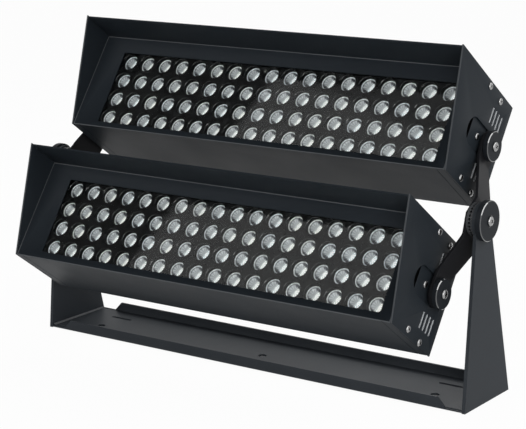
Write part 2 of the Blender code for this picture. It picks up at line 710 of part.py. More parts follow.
def yoke(stand):
    bracket = place("yoke_bracket", base_channel(), "coat", stand)
    combine(bracket, cutter("front_flange", flange(True), stand), "UNION")
    combine(bracket, cutter("rear_flange", flange(False), stand), "UNION")
    for word, side in SIDES:
        combine(bracket, cutter("upright_" + word, slab(
            upright_outline(), *spread(side, upright_inner, upright_outer)), stand), "UNION")
        bore = turned([(side * (upright_inner - YOKE_SHEET), HUB_BOLT_RADIUS + BORE_GAP),
                       (side * (upright_outer + YOKE_SHEET), HUB_BOLT_RADIUS + BORE_GAP)], SMALL_SIDES)
        combine(bracket, cutter("hub_bore_" + word, bore, stand, (0.0, HUB_Y, HUB_Z)))
        combine(bracket, cutter("floor_hole_" + word, floor_hole(FLOOR_HOLE_RADIUS), stand,
                                (side * (upright_outer - FLOOR_HOLE_INSET), FLOOR_HOLE_Y, 0.0)))
        combine(bracket, cutter("floor_slot_" + word, bored_upwards(slot_outline()), stand,
                                (side * (upright_outer - FLOOR_SLOT_INSET), FLOOR_SLOT_Y, 0.0)))
    combine(bracket, cutter("floor_hole_centre", floor_hole(FLOOR_HOLE_RADIUS), stand,
                            (0.0, CENTRE_HOLE_Y, 0.0)))


def ratchet(side, back, valley, tip):
    """Flat ring with radial teeth on the face between valley and tip."""
    shape = bmesh.new()
    bore = HUB_BOLT_RADIUS + BORE_GAP
    steps = 2 * RATCHET_TEETH
    flat_back = [back] * steps
    flat_front = [valley] * steps
    crests = [valley, tip] * RATCHET_TEETH
    loops = []
    for radius, row in ((bore, flat_back), (RATCHET_RADIUS, flat_back), (RATCHET_RADIUS, crests),
                        (RATCHET_INNER_RADIUS, crests), (bore, flat_front)):
        loops.append([shape.verts.new((side * x, radius * math.cos(2 * math.pi * index / steps),
                                       radius * math.sin(2 * math.pi * index / steps)))
                      for index, x in enumerate(row)])
    skin_loops(shape, loops, closed=True)
    bmesh.ops.triangulate(shape, faces=shape.faces[:])
    return shape


def hub(word, side, stand, hub_axis):
    """Cap, bolt, nut and the two toothed rings at one side."""
    axis_spot = (0.0, HUB_Y, HUB_Z)
    bore = HUB_BOLT_RADIUS + BORE_GAP
    place("hub_cap_" + word, turned(washer_profile(
        *spread(side, upright_outer + SEAT_GAP, hub_cap_outer), HUB_CAP_RADIUS, bore,
        HUB_CAP_CHAMFER, side > 0), ROUND_SIDES, closed=True), "coat", stand, axis_spot)
    place("hub_bolt_" + word, screw(
        side, hub_cap_outer + SEAT_GAP, HUB_BOLT_RADIUS, hub_nut_inner - HUB_BOLT_END),
        "steel", stand, axis_spot)
    nut = place("hub_nut_" + word, turned(
        [(x, HUB_NUT_RADIUS) for x in spread(side, hub_nut_inner, hub_arm_inner - SEAT_GAP)], NUT_SIDES),
        "steel", stand, axis_spot)
    combine(nut, cutter("hub_nut_bore_" + word, turned(
        [(x, bore) for x in spread(side, hub_nut_inner - HUB_NUT_HEIGHT, hub_arm_outer)], SMALL_SIDES),
        stand, axis_spot))
    back = upright_inner - SEAT_GAP
    place("yoke_ratchet_" + word, ratchet(side, back, back - RATCHET_PLATE, yoke_ratchet_tip),
          "steel", stand, axis_spot)
    back = hub_arm_outer + SEAT_GAP
    place("arm_ratchet_" + word, ratchet(side, back, back + RATCHET_PLATE, arm_ratchet_tip),
          "steel", hub_axis)


def build():
    clear_scene()
    stand = frame_at("stand_frame", (0.0, 0.0, 0.0))
    hub_axis = frame_at("hub_axis", (0.0, HUB_Y, HUB_Z), parent=stand)
    yoke(stand)
    for word, side in SIDES:
        hub(word, side, stand, hub_axis)
        arm_with_holes(word, side, hub_axis)
    for prefix, spot in (("upper", UPPER_PIVOT), ("lower", LOWER_PIVOT)):
        lamp_head(prefix, frame_at(prefix + "_pivot_axis", (0.0, *spot), -HEAD_TILT, hub_axis))
    bpy.context.view_layer.update()


build()
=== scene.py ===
import math

import bmesh
import bpy
from mathutils import Matrix, Vector


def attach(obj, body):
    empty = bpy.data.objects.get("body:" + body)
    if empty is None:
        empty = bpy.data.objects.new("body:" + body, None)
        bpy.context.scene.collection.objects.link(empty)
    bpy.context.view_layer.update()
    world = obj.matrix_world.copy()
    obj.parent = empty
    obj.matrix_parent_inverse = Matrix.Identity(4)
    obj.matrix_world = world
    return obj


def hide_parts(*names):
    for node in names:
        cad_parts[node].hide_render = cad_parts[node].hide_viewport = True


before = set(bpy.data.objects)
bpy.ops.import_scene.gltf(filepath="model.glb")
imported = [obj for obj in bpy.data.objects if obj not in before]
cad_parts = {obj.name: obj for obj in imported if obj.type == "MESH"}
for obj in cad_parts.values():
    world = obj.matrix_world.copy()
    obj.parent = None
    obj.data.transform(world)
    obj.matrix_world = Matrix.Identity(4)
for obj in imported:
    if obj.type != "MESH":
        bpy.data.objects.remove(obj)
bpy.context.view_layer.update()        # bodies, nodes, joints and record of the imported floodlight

# Camera. It stands 35 degrees to the right of the light and a little above it, about 2.5 m away,
# with a long lens, so that both heads are seen at a slant and the right hub faces the viewer.
scene = bpy.context.scene


def added(name, data):
    """A new object in the scene."""
    thing = bpy.data.objects.new(name, data)
    scene.collection.objects.link(thing)
    return thing


CAMERA_PLACE = (1.3692, -1.9643, 0.7518)      # metres
azimuth, elevation, roll = (math.radians(angle) for angle in (34.943, 12.756, -0.225))
back = Vector((math.sin(azimuth) * math.cos(elevation), -math.cos(azimuth) * math.cos(elevation),
               math.sin(elevation)))
level = Vector((math.cos(azimuth), math.sin(azimuth), 0.0))
above = back.cross(level)
across = level * math.cos(roll) + above * math.sin(roll)
upward = above * math.cos(roll) - level * math.sin(roll)
view = bpy.data.cameras.new("camera")
view.lens, view.sensor_width = 118.53, 36.0      # millimetres
camera = added("camera", view)
camera.matrix_world = (Matrix.Translation(CAMERA_PLACE)
                       @ Matrix((across, upward, back)).transposed().to_4x4())
scene.camera = camera


# Studio. A pale floor, a white room and soft boxes: a long strip high on the right, which draws the bright
# crescents on caps and knobs, and wide ones in front and behind. The edge of the ceiling's white part is
# mirrored in the glass, so that the panes are black on the left and grey on the right.
class Wire:
    """A node's output. Sums on it add Math nodes to its tree."""

    def __init__(self, recipe, socket):
        self.recipe, self.socket = recipe, socket

    def math(self, operation, *values):
        return self.recipe.node("ShaderNodeMath", dict(enumerate(values)), operation=operation)

    __add__ = __radd__ = lambda self, other: self.math("ADD", self, other)
    __sub__ = lambda self, other: self.math("SUBTRACT", self, other)
    __rsub__ = lambda self, other: self.math("SUBTRACT", other, self)
    __mul__ = __rmul__ = lambda self, other: self.math("MULTIPLY", self, other)
    __pow__ = lambda self, other: self.math("POWER", self, other)
    __abs__ = lambda self: self.math("ABSOLUTE", self)
    larger = lambda self, other: self.math("MAXIMUM", self, other)

    def ease(self, low, high):
        """0 below low, 1 above high, and a soft step between."""
        return self.recipe.node("ShaderNodeMapRange", {"Value": self, "From Min": low, "From Max": high},
                                interpolation_type="SMOOTHSTEP")


class Recipe:
    """A node tree that is being filled, for a material, the world or a shape."""

    def __init__(self, tree):
        self.tree = tree

    def node(self, kind, values=None, output=0, **settings):
        """Add one node: its settings first, then the values or links of its sockets."""
        made = self.tree.nodes.new(kind)
        for key, value in settings.items():
            setattr(made, key, value)
        self.feed(made, values or {})
        return Wire(self, made.outputs[output]) if len(made.outputs) else made

    def feed(self, made, values):
        """Give a node's sockets their values or links."""
        for key, value in values.items():
            if isinstance(value, Wire):
                self.tree.links.new(value.socket, made.inputs[key])
            else:
                made.inputs[key].default_value = value

    def blend(self, share, first, second):
        """A colour between two colours."""
        colours = [value if isinstance(value, Wire) else (*value, 1.0) for value in (first, second)]
        return self.node("ShaderNodeMix", {0: share, 6: colours[0], 7: colours[1]}, 2, data_type="RGBA")

    def noise(self, where, scale, detail=2.0):
        return self.node("ShaderNodeTexNoise", {"Vector": where, "Scale": scale, "Detail": detail})

    def share(self, label):
        """A number that the piece carries under a name."""
        return self.node("ShaderNodeAttribute", output="Fac", attribute_name=label)


def direct_rays(recipe):
    """1 for the rays that see the white room as it is: camera, mirror and glass rays."""
    camera_ray, mirror_ray, glass_ray = (recipe.node("ShaderNodeLightPath", output=kind) for kind in (
        "Is Camera Ray", "Is Glossy Ray", "Is Transmission Ray"))
    return camera_ray.larger(mirror_ray).larger(glass_ray)


scene.view_settings.view_transform = "Standard"
world = bpy.data.worlds.new("white_room")
world.use_nodes = True
world.node_tree.nodes.clear()
scene.world = world
room = Recipe(world.node_tree)
seen = direct_rays(room)
ROOM_LIGHT = 0.36         # what matt surfaces get
DARK_CEILING = 0.10       # what glossy ones see beyond the edges of the ceiling's white part
LEFT_EDGE, RIGHT_EDGE = (0.699, -0.698, 0.153), (-0.248, -0.754, -0.608)
CEILING = (-0.563, -0.439, 0.700)
heading = room.node("ShaderNodeTexCoord", output="Generated")
left_edge, right_edge, ceiling = (
    room.node("ShaderNodeVectorMath", {0: heading, 1: facing}, "Value", operation="DOT_PRODUCT")
    for facing in (LEFT_EDGE, RIGHT_EDGE, CEILING))
beyond = (1.0 - left_edge.ease(-0.003, 0.003)).larger((1.0 - right_edge.ease(-0.006, 0.006)) * 0.6)
dark = beyond * ceiling.ease(0.72, 0.80) * (1.0 - room.node("ShaderNodeLightPath", output="Is Camera Ray"))
seen = seen * (1.0 - dark * (1.0 - DARK_CEILING))
room.node("ShaderNodeOutputWorld", {"Surface": room.node("ShaderNodeBackground", {
    "Color": (1.0, 1.0, 1.0, 1.0), "Strength": seen.larger(ROOM_LIGHT * (1.0 - dark))})})

floor_finish = bpy.data.materials.new("pale_floor")
floor_finish.use_nodes = True
floor_finish.node_tree.nodes.clear()
paper = Recipe(floor_finish.node_tree)
seen = direct_rays(paper)
spot = paper.node("ShaderNodeSeparateXYZ", {0: paper.node("ShaderNodeTexCoord", output="Object")})
spot_y = Wire(paper, spot.socket.node.outputs[1])
FOOT_X, FOOT_Y = (0.354, 0.358), (0.057, 0.061)      # the bracket's footprint, with a soft edge
outside = abs(spot).ease(*FOOT_X).larger(abs(spot_y).ease(*FOOT_Y))
paper.node("ShaderNodeOutputMaterial", {"Surface": paper.node("ShaderNodeMixShader", {
    0: seen * outside * 0.97,
    1: paper.node("ShaderNodeBsdfDiffuse", {"Color": (0.68, 0.68, 0.68, 1.0)}),
    2: paper.node("ShaderNodeEmission", {"Color": (1.0, 1.0, 1.0, 1.0), "Strength": 1.0})})})


def oblong(half, low, high):
    """The corners of an upright or flat rectangle, centred from side to side."""
    return [(-half, low), (half, low), (half, high), (-half, high)]


FLOOR_HALF = 9.0
floor_mesh = bpy.data.meshes.new("floor")
floor_mesh.from_pydata([(x, y, 0.0) for x, y in oblong(FLOOR_HALF, -FLOOR_HALF, FLOOR_HALF)],
                       [], [(0, 1, 2, 3)])
floor_mesh.materials.append(floor_finish)
floor = added("floor", floor_mesh)

AIM = (0.0, 0.0, 0.25)
for name, spot, lie, long, wide, watts in (
        ("side_strip", (1.85, 0.17, 1.60), (0.357, -0.807, -0.239), 2.8, 0.38, 15.0),
        ("key_box", (1.9, -1.9, 0.75), (1.0, 1.0, 0.0), 1.2, 1.2, 28.0),
        ("left_box", (-0.8, -2.7, 1.1), (1.0, -0.3, 0.0), 1.2, 1.2, 14.0),
        ("rear_box", (-0.5, 1.5, 1.6), (1.0, 0.0, 0.0), 1.0, 1.0, 18.0)):
    lamp = bpy.data.lights.new(name, "AREA")
    lamp.shape, lamp.size, lamp.size_y, lamp.energy = "RECTANGLE", long, wide, watts
    box = added(name, lamp)
    outward = (Vector(spot) - Vector(AIM)).normalized()
    along = (Vector(lie) - outward * outward.dot(lie)).normalized()
    box.matrix_world = (Matrix.Translation(spot)
                        @ Matrix((along, outward.cross(along), outward)).transposed().to_4x4())


# Yoke bracket. A folded steel channel, 3 mm thick, with a 5 mm plate welded on at each end that narrows to
# a round head at the hub. Satin black powder coat over all of it. Sizes from here on are millimetres.
def surface(name):
    """A new material, with its recipe and its main shader."""
    material = bpy.data.materials.new(name)
    material.use_nodes = True
    return material, Recipe(material.node_tree), material.node_tree.nodes["Principled BSDF"]


PALE_METAL_WEAR_AND_HIGHLIGHT, PAINTED_SHADE_BLACK = (0.52, 0.54, 0.56), (0.0015, 0.0015, 0.0015)
TO_METRES, TO_MILLIMETRES, SHARP = Matrix.Scale(0.001, 4), Matrix.Scale(1000.0, 4), math.radians(38)


def powder_coat(name, colour, lighter, roughness, grain, peel, gloss=0.06):
    """Powder coat: an orange-peel skin of the given grain in metres, with fine speckle and duller patches.
    Faces marked bare get a pale metal colour, for wear and as a painted highlight on lit edges; those marked
    polish are smooth; those marked as pocket shade get a near-black colour, painted shade in a narrow gap."""
    material, recipe, shader = surface(name)
    where = recipe.node("ShaderNodeTexCoord", output="Object")
    speckle = recipe.noise(where, 2.2 / grain, 1.0)
    patches = recipe.noise(where, 14.0, 3.0)
    skin = recipe.noise(where, 1.0 / grain)
    coat = recipe.blend((speckle * 0.7 + patches * 0.5 - 0.25).ease(0.25, 0.75), colour, lighter)
    # Pale metal on faces marked bare: wear, and painted highlights on lit edges.
    coat = recipe.blend(recipe.share("bare"), coat, PALE_METAL_WEAR_AND_HIGHLIGHT)
    recipe.feed(shader, {
        # Near black on faces marked as pocket shade: painted shade.
        "Base Color": recipe.blend(recipe.share("painted_pocket_shade"), coat, PAINTED_SHADE_BLACK),
        "Roughness": patches * 0.16 + skin * 0.06 + (roughness - 0.11),
        "Normal": recipe.node("ShaderNodeBump", {"Strength": peel, "Distance": 0.0003, "Height": skin}),
        "Coat Weight": recipe.share("polish"), "Coat Roughness": 0.04, "Coat IOR": 2.0,
        "Specular IOR Level": gloss})
    return material


def piece(name, work, material, place=None):
    """Turn a bmesh in millimetres into a named object in metres, with doubles merged and faces outwards."""
    if place:
        work.transform(place)
    work.transform(TO_METRES)
    bmesh.ops.remove_doubles(work, verts=work.verts, dist=1e-7)
    bmesh.ops.recalc_face_normals(work, faces=work.faces)
    mesh = bpy.data.meshes.new(name)
    work.to_mesh(mesh)
    work.free()
    mesh.materials.append(material)
    mesh.shade_smooth()
    mesh.set_sharp_from_angle(angle=SHARP)
    return added(name, mesh)


def soft_edges(thing, radius, place=None, sharp=None):
    """Round a piece's edges. Those whose two ends pass the test sharp, in the place's millimetres, stay."""
    bevel = thing.modifiers.new("soft_edges", "BEVEL")
    bevel.width, bevel.segments, bevel.harden_normals = radius * 0.001, 2, True
    bevel.limit_method, bevel.angle_limit = "WEIGHT" if sharp else "ANGLE", SHARP
    if sharp:
        into = place.inverted() @ TO_MILLIMETRES
        kept = [sharp(into @ vertex.co) for vertex in thing.data.vertices]
        weights = thing.data.attributes.new("bevel_weight_edge", "FLOAT", "EDGE")
        for edge, weight in zip(thing.data.edges, weights.data):
            weight.value = float(edge.use_edge_sharp and not all(kept[end] for end in edge.vertices))
    return thing


def mark(thing, label, place, test):
    """Give each face the share that a test finds from its centre and normal, in the place's millimetres."""
    into, turn = place.inverted() @ TO_MILLIMETRES, place.inverted().to_3x3()
    marks = thing.data.attributes.new(label, "FLOAT", "FACE")
    for face, value in zip(thing.data.polygons, marks.data):
        value.value = float(test(into @ face.center, (turn @ face.normal).normalized()))


def arc(centre, radius, start, end, steps):
    """Points of an arc, angles in degrees."""
    return [(centre[0] + radius * math.cos(math.radians(start + (end - start) * k / steps)),
             centre[1] + radius * math.sin(math.radians(start + (end - start) * k / steps)))
            for k in range(steps + 1)]


def long_hole(first, second, radius, turn, steps):
    """The outline of a round-ended hole from its first end's centre to its second."""
    return arc(first, radius, turn - 90, turn + 90, steps) + arc(second, radius, turn + 90, turn + 270, steps)


def baked(thing, *helpers):
    """The bmesh of an object as its modifiers leave it. The object and its helpers are removed."""
    mesh = bpy.data.meshes.new_from_object(thing.evaluated_get(bpy.context.evaluated_depsgraph_get()))
    for used in (thing, *helpers):
        bpy.data.objects.remove(used)
    work = bmesh.new()
    work.from_mesh(mesh)
    return work


def cut_sheet(outline, low, high, edge, holes=()):
    """A flat sheet from low to high along Z, with its outline and holes in X and Y and its edges eased."""
    curve = bpy.data.curves.new("sheet", "CURVE")
    curve.dimensions, curve.fill_mode = "2D", "BOTH"
    curve.extrude, curve.bevel_depth = (high - low) / 2 - edge, edge
    curve.bevel_resolution, curve.offset = 2, -edge
    for points in (outline, *holes):
        spline = curve.splines.new("POLY")
        spline.points.add(len(points) - 1)
        for point, (x, y) in zip(spline.points, points):
            point.co = (x, y, 0.0, 1.0)
        spline.use_cyclic_u = True
    work = baked(added("sheet", curve))
    bmesh.ops.translate(work, verts=work.verts, vec=(0.0, 0.0, (low + high) / 2))
    return work


def upright_outline(hub, head, neck):
    """Tapered plate with a round head. Each sloping edge runs at a tangent to the neck circle."""
    centre = Vector(hub)
    angles = []
    for foot_y, turn in ((half, 1), (-half, -1)):
        run = centre - Vector((foot_y, 0.0))
        tilt = math.asin(neck / run.length)
        heading = math.atan2(run.y, run.x) - turn * tilt
        reach = run.length * math.cos(tilt) - math.sqrt(head ** 2 - neck ** 2)
        meet = Vector((foot_y, 0.0)) + Vector((math.cos(heading), math.sin(heading))) * reach - centre
        angles.append(math.degrees(math.atan2(meet.y, meet.x)))
    return [(half, 0.0)] + arc(hub, head, angles[0], angles[1] + 360, 40) + [(-half, 0.0)]


def block(low, high):
    work = bmesh.new()
    bmesh.ops.create_cube(work, size=1.0)
    for vertex in work.verts:
        vertex.co = [(a + b) / 2 + c * (b - a) for a, b, c in zip(low, high, vertex.co)]
    return work


def carved(name, body, tools):
    """Boolean steps on a body, in order, each with its tool and its operation."""
    helpers = []
    for number, (tool, operation) in enumerate(tools):
        helper = piece(f"{name}_tool_{number}", tool, steel_coat)
        step = body.modifiers.new(helper.name, "BOOLEAN")
        step.operation, step.solver, step.object = operation, "EXACT", helper
        helpers.append(helper)
    work = baked(body, *helpers)
    work.transform(TO_MILLIMETRES)
    bmesh.ops.remove_doubles(work, verts=work.verts, dist=1e-3)
    bmesh.ops.dissolve_limit(work, angle_limit=math.radians(0.5), verts=work.verts, edges=work.edges)
    return work


def across_axis(work, outline, along, axis="X"):
    """New points of an outline that stands across an axis, at a distance along it."""
    return [work.verts.new({"X": (along, a, b), "Y": (a, along, b), "Z": (a, b, along)}[axis])
            for a, b in outline]


def wall(work, first, second):
    """Faces between two closed rows of points. A row of one point is a tip."""
    for k in range(max(len(first), len(second))):
        near, far = ([row[n % len(row)] for n in (k, k + 1)] for row in (first, second))
        work.faces.new(list(dict.fromkeys(near + far[::-1])))


def prism(outline, low, high, axis="X"):
    """A straight bar: its outline across the axis and its two ends along it."""
    work = bmesh.new()
    ends = [across_axis(work, outline, along, axis) for along in (low, high)]
    wall(work, *ends)
    work.faces.new(ends[0][::-1])
    work.faces.new(ends[1])
    return work


steel_coat = powder_coat("satin_black_steel", (0.0320, 0.0365, 0.0420), (0.0460, 0.0515, 0.0580),
                         0.46, 0.0011, 0.20)
YOKE_HALF, YOKE_DEPTH_HALF, SHEET, FOLD = 358.8, 61.8, 3.0, 3.4
UPRIGHT, FLANGE_TOP, FLANGE_END, FLANGE_SLANT = 5.0, 16.2, 329.4, 13.4
HUB, UPRIGHT_HEAD, UPRIGHT_NECK, BOLT_BORE, WELD = (-22.0, 251.5), 24.0, 17.5, 4.4, 2.4
HOLE_X, HOLE_Y, MIDDLE_HOLE_Y, HOLE_RADIUS = 291.0, -20.0, -7.5, 6.0
SLOT_X, SLOT_Y, SLOT_REACH, SLOT_RADIUS = 290.0, 27.0, 16.0, 3.0
half, inner = YOKE_DEPTH_HALF, YOKE_DEPTH_HALF - SHEET
channel_outline = (
    [(-half, FLANGE_TOP)] + arc((-half + FOLD, FOLD), FOLD, 180, 270, 5)
    + arc((half - FOLD, FOLD), FOLD, 270, 360, 5) + [(half, FLANGE_TOP), (inner, FLANGE_TOP)]
    + arc((inner - 1.0, SHEET + 1.0), 1.0, 0, -90, 3) + arc((-inner + 1.0, SHEET + 1.0), 1.0, -90, -180, 3)
    + [(-inner, FLANGE_TOP)])
channel = piece("channel", prism(channel_outline, -YOKE_HALF + 1.0, YOKE_HALF - 1.0), steel_coat)
tools = []
for side in (-1, 1):
    foot, top = side * FLANGE_END, side * (FLANGE_END - FLANGE_SLANT)
    clear = side * (YOKE_HALF + 5)
    for edge in (-1, 1):
        y_low, y_high = sorted((edge * (inner - 0.01), edge * (half + 2)))
        tools.append((prism([(foot, SHEET), (top, FLANGE_TOP + 1), (clear, FLANGE_TOP + 1), (clear, SHEET)],
                            y_low, y_high, "Y"), "DIFFERENCE"))
for side in (-1, 1):
    low, high = sorted((side * (YOKE_HALF - UPRIGHT), side * YOKE_HALF))
    tools.append((prism(upright_outline(HUB, UPRIGHT_HEAD, UPRIGHT_NECK), low, high), "UNION"))
    tools.append((prism(arc(HUB, BOLT_BORE, 0, 345, 23), low - 2, high + 2), "DIFFERENCE"))
    tools.append((prism(arc((side * HOLE_X, HOLE_Y), HOLE_RADIUS, 0, 350, 35), -1, 5, "Z"), "DIFFERENCE"))
    slot_ends = ((side * SLOT_X + reach, SLOT_Y) for reach in (SLOT_REACH, -SLOT_REACH))
    tools.append((prism(long_hole(*slot_ends, SLOT_RADIUS, 0, 10), -1, 5, "Z"), "DIFFERENCE"))
    corner = YOKE_HALF - UPRIGHT + 0.2       # where floor and upright are welded
    tools.append((prism([(side * corner, SHEET - 0.2), (side * (corner - WELD), SHEET - 0.2),
                         (side * corner, SHEET + WELD)], -half + FOLD, half - FOLD, "Y"), "UNION"))
tools.append((prism(arc((0.0, MIDDLE_HOLE_Y), HOLE_RADIUS, 0, 350, 35), -1, 5, "Z"), "DIFFERENCE"))
bracket = piece("yoke_body", carved("yoke", channel, tools), steel_coat)
mark(bracket, "polish", Matrix.Identity(4), lambda spot, facing: 0.25 * (
    0.5 < abs(facing.x) < 0.85 and facing.z > 0.5 and spot.z < 8.0 and abs(spot.x) > 345.0))
bracket = soft_edges(bracket, 0.45)
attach(bracket, "yoke")
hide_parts("yoke_bracket")


# Hubs. A turned black cap outside each upright holds the bolt head, and two toothed steel discs between
# upright and arm lock the arm's angle when the nut inside is drawn up.
def circle(radius, steps):
    return arc((0.0, 0.0), radius, 0, 360, steps)[:-1]


def turned(profile, sides=64, axis="X"):
    """A turned piece from (distance along the axis, radius) pairs. A radius of 0 closes an end."""
    work = bmesh.new()
    loops = [across_axis(work, circle(radius, sides if radius else 1), along, axis)
             for along, radius in profile]
    closed = profile[0][1] and profile[-1][1]
    for first, second in list(zip(loops, loops[1:])) + ([(loops[-1], loops[0])] if closed else []):
        wall(work, first, second)
    return work


def brushed_steel(name, colour, roughness, scratch):
    """Bright steel with fine turning marks, a little duller in patches."""
    material, recipe, shader = surface(name)
    where = recipe.node("ShaderNodeTexCoord", output="Object")
    stretched = recipe.node("ShaderNodeMapping", {"Vector": where, "Scale": (6.0, 1.0, 1.0)})
    marks = recipe.noise(stretched, scratch, 3.0)
    bright = recipe.blend(marks.ease(0.35, 0.7), colour, [c * 0.72 for c in colour])
    recipe.feed(shader, {
        # Faces marked recess are near black: painted shade in the screw's cross.
        "Base Color": recipe.blend(recipe.share("recess"), bright, (0.012, 0.012, 0.012)),
        "Roughness": recipe.noise(where, 120.0) * 0.14 + marks * 0.12 + (roughness - 0.13),
        "Normal": recipe.node("ShaderNodeBump", {"Strength": 0.12, "Distance": 0.0001, "Height": marks}),
        "Metallic": 1.0})
    return material


def toothed_ring(back, valley, tip):
    """Flat ring with radial teeth between two radii on one face."""
    work = bmesh.new()
    steps = 4 * TEETH
    crests = [valley, valley, tip, tip] * TEETH
    loops = []
    for radius, row in ((BOLT_BORE, [back] * steps), (TEETH_RIM, [back] * steps), (TEETH_RIM, crests),
                        (TEETH_INNER_RIM, crests), (TEETH_INNER_RIM - 0.6, [valley] * steps),
                        (BOLT_BORE, [valley] * steps)):
        loops.append([work.verts.new((x, *spot)) for x, spot in zip(row, circle(radius, steps))])
    for first, second in zip(loops, loops[1:] + loops[:1]):
        wall(work, first, second)
    bmesh.ops.triangulate(work, faces=work.faces[:])
    return work


def clamp_disc(side, low, high, radius, foot, seat, depth, bore):
    """A turned cap or knob, with a foot chamfer, a shining rim chamfer and a shallow seat for its screw."""
    return turned([(side * x, r) for x, r in (
        (low, bore), (low, radius - foot), (low + 0.6, radius), (high - RIM_CHAMFER, radius),
        (high, radius - RIM_CHAMFER), (high, seat[0]), (high - depth, seat[1]), (high - depth, bore))])


def collar(side, low, high, radius, bore, slant, run, sides):
    """A boss or nut with both rims chamfered. The chamfers take slant off the radius, over a length run."""
    return turned([(side * x, r) for x, r in (
        (low, bore), (low, radius - slant), (low + run, radius), (high - run, radius), (high, radius - slant),
        (high, bore))], sides)


cap_black = powder_coat("turned_black", (0.0135, 0.0158, 0.0188), (0.0190, 0.0213, 0.0246),
                        0.42, 0.0007, 0.10)
tooth_steel = powder_coat("blackened_steel", (0.013, 0.014, 0.016), (0.027, 0.028, 0.030),
                          0.36, 0.0008, 0.12, 0.2)
screw_steel = brushed_steel("stainless", (0.37, 0.37, 0.37), 0.26, 900.0)
SIDES = (("left", -1), ("right", 1))
CAP_LOW, CAP_HIGH, CAP_RADIUS, RIM_CHAMFER = 359.1, 367.8, 27.0, 1.0
TEETH, TEETH_RIM, TEETH_INNER_RIM, TOOTH = 28, 22.0, 13.5, 1.45
YOKE_RING, ARM_RING, RING_PLATE, NUT_LOW, NUT_HIGH, NUT_RADIUS = 353.5, 344.4, 2.9, 334.3, 339.8, 8.5
at_hub = Matrix.Translation((0.0, *HUB))
for word, side in SIDES:
    cap = clamp_disc(side, CAP_LOW, CAP_HIGH, CAP_RADIUS, 1.4, (8.0, 7.6), 0.5, BOLT_BORE)
    cap = piece("hub_disc_" + word, cap, cap_black, at_hub)
    mark(cap, "polish", at_hub, lambda spot, facing: 0.6 < side * facing.x < 0.8)      # the rim's chamfer
    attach(cap, "yoke")
    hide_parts("hub_cap_" + word)
    for name, node, body, back, way in (("hub_teeth_", "yoke_ratchet_", "yoke", YOKE_RING, -side),
                                        ("arm_teeth_", "arm_ratchet_", "arms", ARM_RING, side)):
        valley = side * back + way * RING_PLATE
        ring = toothed_ring(side * back, valley, valley + way * TOOTH)
        ring = piece(name + word, ring, tooth_steel, at_hub)
        mark(ring, "bare", at_hub, lambda spot, facing: 0.08 * (abs(facing.x) < 0.3))      # flanks a little paler: wear, and a painted highlight on the teeth
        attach(ring, body)
        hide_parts(node + word)
    nut = piece("hub_nut_body_" + word, collar(side, NUT_LOW, NUT_HIGH, NUT_RADIUS, BOLT_BORE, 0.9, 0.5, 6),
                screw_steel, at_hub)
    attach(nut, "yoke")
    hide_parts("hub_nut_" + word)


# Screws. Stainless pan heads with a cross recess, pressed and threaded. The hub bolts and pivot screws are
# the large ones. The small ones hold the side plates, end caps, visor and rear cover.
def cross_head():
    """Pan head of radius 1 with its crown towards +X and a cross cut in it."""
    dome = piece("dome", turned([(0.0, 0.0), (0.0, 0.97), (0.03, 1.0), (0.13, 1.0), (0.25, 0.955),
                                 (0.36, 0.80), (0.425, 0.55), (0.44, 0.0)], 32), screw_steel)
    cuts = []
    for length, width in ((0.62, 0.15), (0.15, 0.62)):
        cut = block((0.0, -length, -width), (1.0, length, width))
        for vertex in cut.verts:
            if vertex.co.x < 0.5:
                vertex.co.y, vertex.co.z, vertex.co.x = vertex.co.y * 0.6, vertex.co.z * 0.6, 0.08
        cuts.append((cut, "DIFFERENCE"))
    head = piece("cross_head", carved("screw", dome, cuts), screw_steel)
    # The cross's faces are marked for that painted shade.
    mark(head, "recess", Matrix.Identity(4), lambda spot, facing: spot.x < 0.4
         and max(abs(spot.y), abs(spot.z)) < 0.6 and min(abs(spot.y), abs(spot.z)) < 0.16)
    return head


def grown(name, tree, values, points=()):
    """Run a shape recipe on a mesh of loose points and take its result as a bmesh."""
    mesh = bpy.data.meshes.new(name)
    mesh.from_pydata(list(points), [], [])
    holder = added(name, mesh)
    step = holder.modifiers.new(name, "NODES")
    step.node_group = tree
    for item in tree.interface.items_tree:
        if item.in_out == "INPUT" and item.name in values:
            step[item.identifier] = values[item.name]
    return baked(holder)


def shape_recipe(name, **sockets):
    """An empty Geometry Nodes tree and its inputs, which are named by their kinds."""
    tree = bpy.data.node_groups.new(name, "GeometryNodeTree")
    tree.interface.new_socket("Geometry", in_out="OUTPUT", socket_type="NodeSocketGeometry")
    for kind, labels in sockets.items():
        for label in labels:
            tree.interface.new_socket(label, in_out="INPUT", socket_type="NodeSocket" + kind)
    recipe = Recipe(tree)
    entry = tree.nodes.new("NodeGroupInput")
    return tree, recipe, {label: Wire(recipe, entry.outputs[label]) for labels in sockets.values()
                          for label in labels}


def join(recipe, *parts):
    """Several shapes of a recipe as one."""
    joined = recipe.tree.nodes.new("GeometryNodeJoinGeometry")
    for part in parts:
        recipe.tree.links.new(part.socket, joined.inputs[0])
    return Wire(recipe, joined.outputs[0])


def realized(recipe, shape, finish):
    """The end of a recipe: real faces instead of instances, and their material."""
    shape = recipe.node("GeometryNodeRealizeInstances", {"Geometry": shape})
    recipe.node("NodeGroupOutput", {0: recipe.node("GeometryNodeSetMaterial", {
        "Geometry": shape, "Material": finish})})


